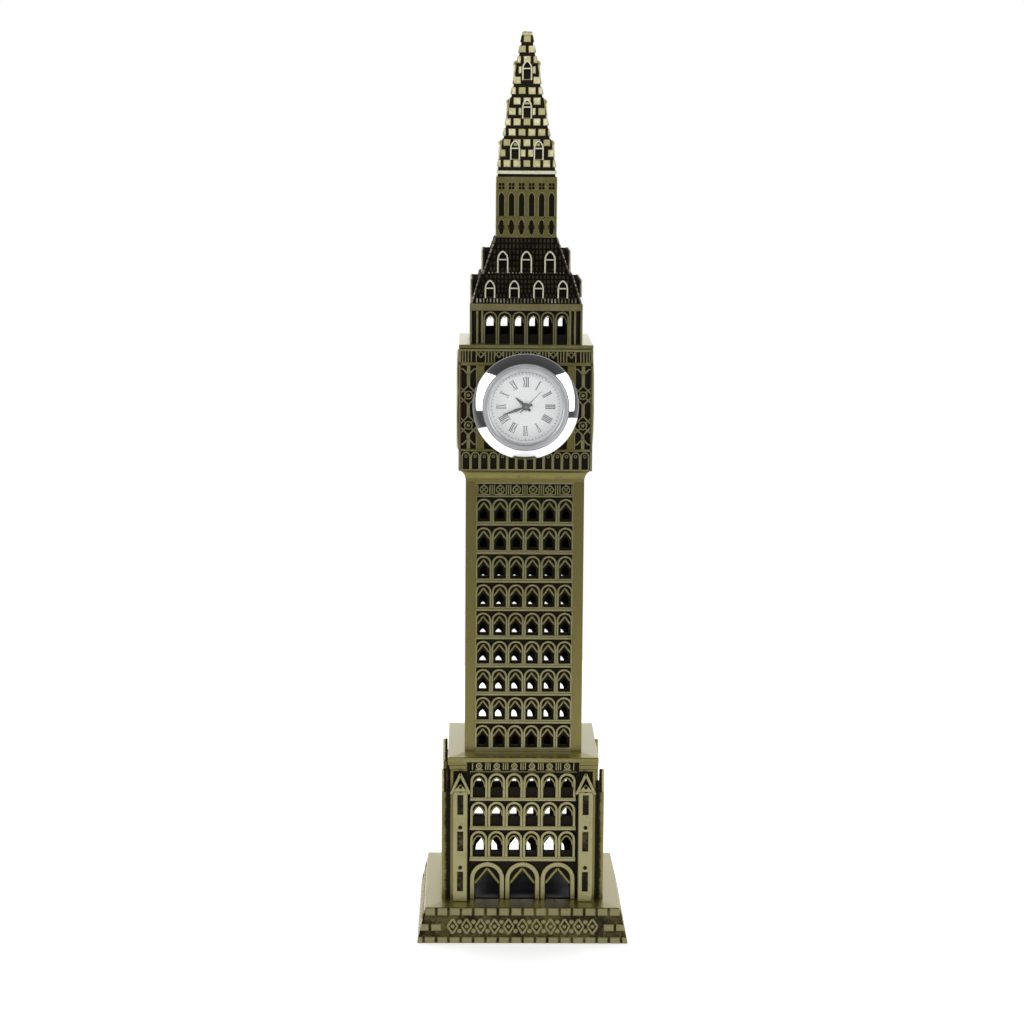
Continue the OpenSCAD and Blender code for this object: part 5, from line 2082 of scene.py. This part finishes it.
@dataclass(frozen=True)
class Studio:
    """Pale floor, soft light and the camera."""

    camera_at: tuple[float, float, float] = (-0.01755, -0.8978, 0.284)
    camera_turn: tuple[float, float, float] = (-0.86, 81.18, 0.39)
    lens: float = 91.44
    aim_at: tuple[float, float, float] = (0, 0, 0.17)
    floor_r: float = 0.44
    floor_x: float = 0.13
    floor_glow: float = 0.42
    world_stops: Sequence[Point] = ((0.0, 0.3), (0.27, 0.05), (0.4, 0.08), (0.6, 0.7), (1.0, 1.5))

    def floor(self) -> None:
        """Large pale floor with a faint mottle."""
        bpy.ops.mesh.primitive_circle_add(vertices=96, radius=self.floor_r, fill_type="NGON",
                                          location=(self.floor_x, 0, 0))
        ground = settle()
        ground.name = "floor"
        graph = Graph("studio_floor")
        cloud = graph.noise(3, 2.0)
        colour = graph.mix(cloud, (0.80, 0.80, 0.805), (0.84, 0.84, 0.84))
        material = graph.set(Base_Color=colour, Roughness=0.7, Emission_Color=(1.0, 1.0, 1.0, 1.0),
                             Emission_Strength=self.floor_glow)
        ground.data.materials.append(material)

    def world(self) -> None:
        """White studio: bright behind and at the sides, dim over and behind the camera."""
        world = bpy.data.worlds.new("studio")
        bpy.context.scene.world = world
        world.use_nodes = True
        tree = world.node_tree
        tree.nodes.clear()
        out = tree.nodes.new("ShaderNodeOutputWorld")
        place = tree.nodes.new("ShaderNodeTexCoord")
        axes = tree.nodes.new("ShaderNodeSeparateXYZ")
        ramp = tree.nodes.new("ShaderNodeValToRGB")
        shift = tree.nodes.new("ShaderNodeMapRange")
        seen = tree.nodes.new("ShaderNodeBackground")
        lit = tree.nodes.new("ShaderNodeBackground")
        path = tree.nodes.new("ShaderNodeLightPath")
        mix = tree.nodes.new("ShaderNodeMixShader")
        tree.links.new(place.outputs["Generated"], axes.inputs[0])
        tree.links.new(axes.outputs["Y"], shift.inputs["Value"])
        shift.inputs["From Min"].default_value = -1.0
        shift.inputs["From Max"].default_value = 1.0
        tree.links.new(shift.outputs["Result"], ramp.inputs["Fac"])
        for index, (at, level) in enumerate(self.world_stops):
            stop = ramp.color_ramp.elements[index] if index < 2 else ramp.color_ramp.elements.new(at)
            stop.position = at
            stop.color = (level, level, level, 1)
        tree.links.new(ramp.outputs["Color"], lit.inputs["Color"])
        lit.inputs["Strength"].default_value = 1.0
        seen.inputs["Color"].default_value = (1, 1, 1, 1)
        seen.inputs["Strength"].default_value = 1.0
        tree.links.new(path.outputs["Is Camera Ray"], mix.inputs[0])
        tree.links.new(lit.outputs[0], mix.inputs[1])
        tree.links.new(seen.outputs[0], mix.inputs[2])
        tree.links.new(mix.outputs[0], out.inputs["Surface"])

    def lamp(self, name: str, at: Sequence[float], size: Sequence[float], power: float) -> None:
        """Adds a soft box that faces the middle of the tower.

        Args:
            name: Name of the light.
            at: Its place in metres.
            size: Its width and height.
            power: Its power in watts.
        """
        light = bpy.data.lights.new(name, "AREA")
        light.shape = "RECTANGLE"
        light.size, light.size_y = size
        light.energy = power
        lamp = bpy.data.objects.new(name, light)
        bpy.context.collection.objects.link(lamp)
        lamp.location = at
        aim = Vector(self.aim_at) - Vector(at)
        lamp.rotation_euler = aim.to_track_quat("-Z", "Y").to_euler()

    def camera(self) -> None:
        """Camera a little above the clock, looking slightly down."""
        data = bpy.data.cameras.new("camera")
        data.lens = self.lens
        data.sensor_width = 36
        data.clip_start = 0.01
        camera = bpy.data.objects.new("camera", data)
        bpy.context.collection.objects.link(camera)
        heading, tilt, roll = (math.radians(angle) for angle in self.camera_turn)
        turn = (Matrix.Rotation(heading, 4, "Z") @ Matrix.Rotation(tilt, 4, "X")
                @ Matrix.Rotation(roll, 4, "Z"))
        camera.matrix_world = Matrix.Translation(self.camera_at) @ turn
        bpy.context.scene.camera = camera

    def build(self) -> None:
        """Builds the studio."""
        self.floor()
        self.world()
        self.lamp("left_box", (-0.97, -0.48, 0.43), (0.55, 0.96), 4.5)
        self.lamp("right_box", (0.97, -0.48, 0.43), (0.55, 0.96), 4.5)
        self.lamp("top_box", (0, 0.75, 1.2), (1.2, 0.9), 8)
        self.lamp("front_box", (0, -1.25, 0.92), (0.7, 0.35), 6)
        self.camera()
        bpy.context.scene.view_settings.view_transform = "Standard"


def dress_nodes() -> None:
    """Gives each CAD node that stays its finish, by the record's slots."""
    slots = {part["node"]: part["material_slot"] for part in frame["record"]["subparts"]}
    for name, node in frame["nodes"].items():
        finish = FINISHES.get(slots[name])
        if finish:
            node.data.materials.clear()
            node.data.materials.append(finish.made())


def main() -> None:
    """Builds the tower from the floor up, then the clock and the studio."""
    logging.basicConfig(level=logging.INFO, format="%(name)s: %(message)s")
    bpy.ops.object.select_all(action="DESELECT")
    dress_nodes()
    storeys = [
        Plinth("plinth"), LowerStorey("lower_wall"), Shaft("shaft_wall"), ClockStorey("clock_wall"),
        Cornice("cornice_plate"), Belfry("belfry_wall"), Roof("lower_roof"),
        Roof("upper_roof", windows=3, window_pitch=8.0, window_z=0.5, window_w=4.0, eaves=4.6, top_half=10.4,
             rows=6, foot_course=0.9, shell=1.9),
        Lantern("lantern"), Spire("spire"), SpireCap("spire_cap"),
    ]
    for storey in storeys:
        storey.build()
    ClockInsert().build()
    Studio().build()


if __name__ == "__main__":
    main()
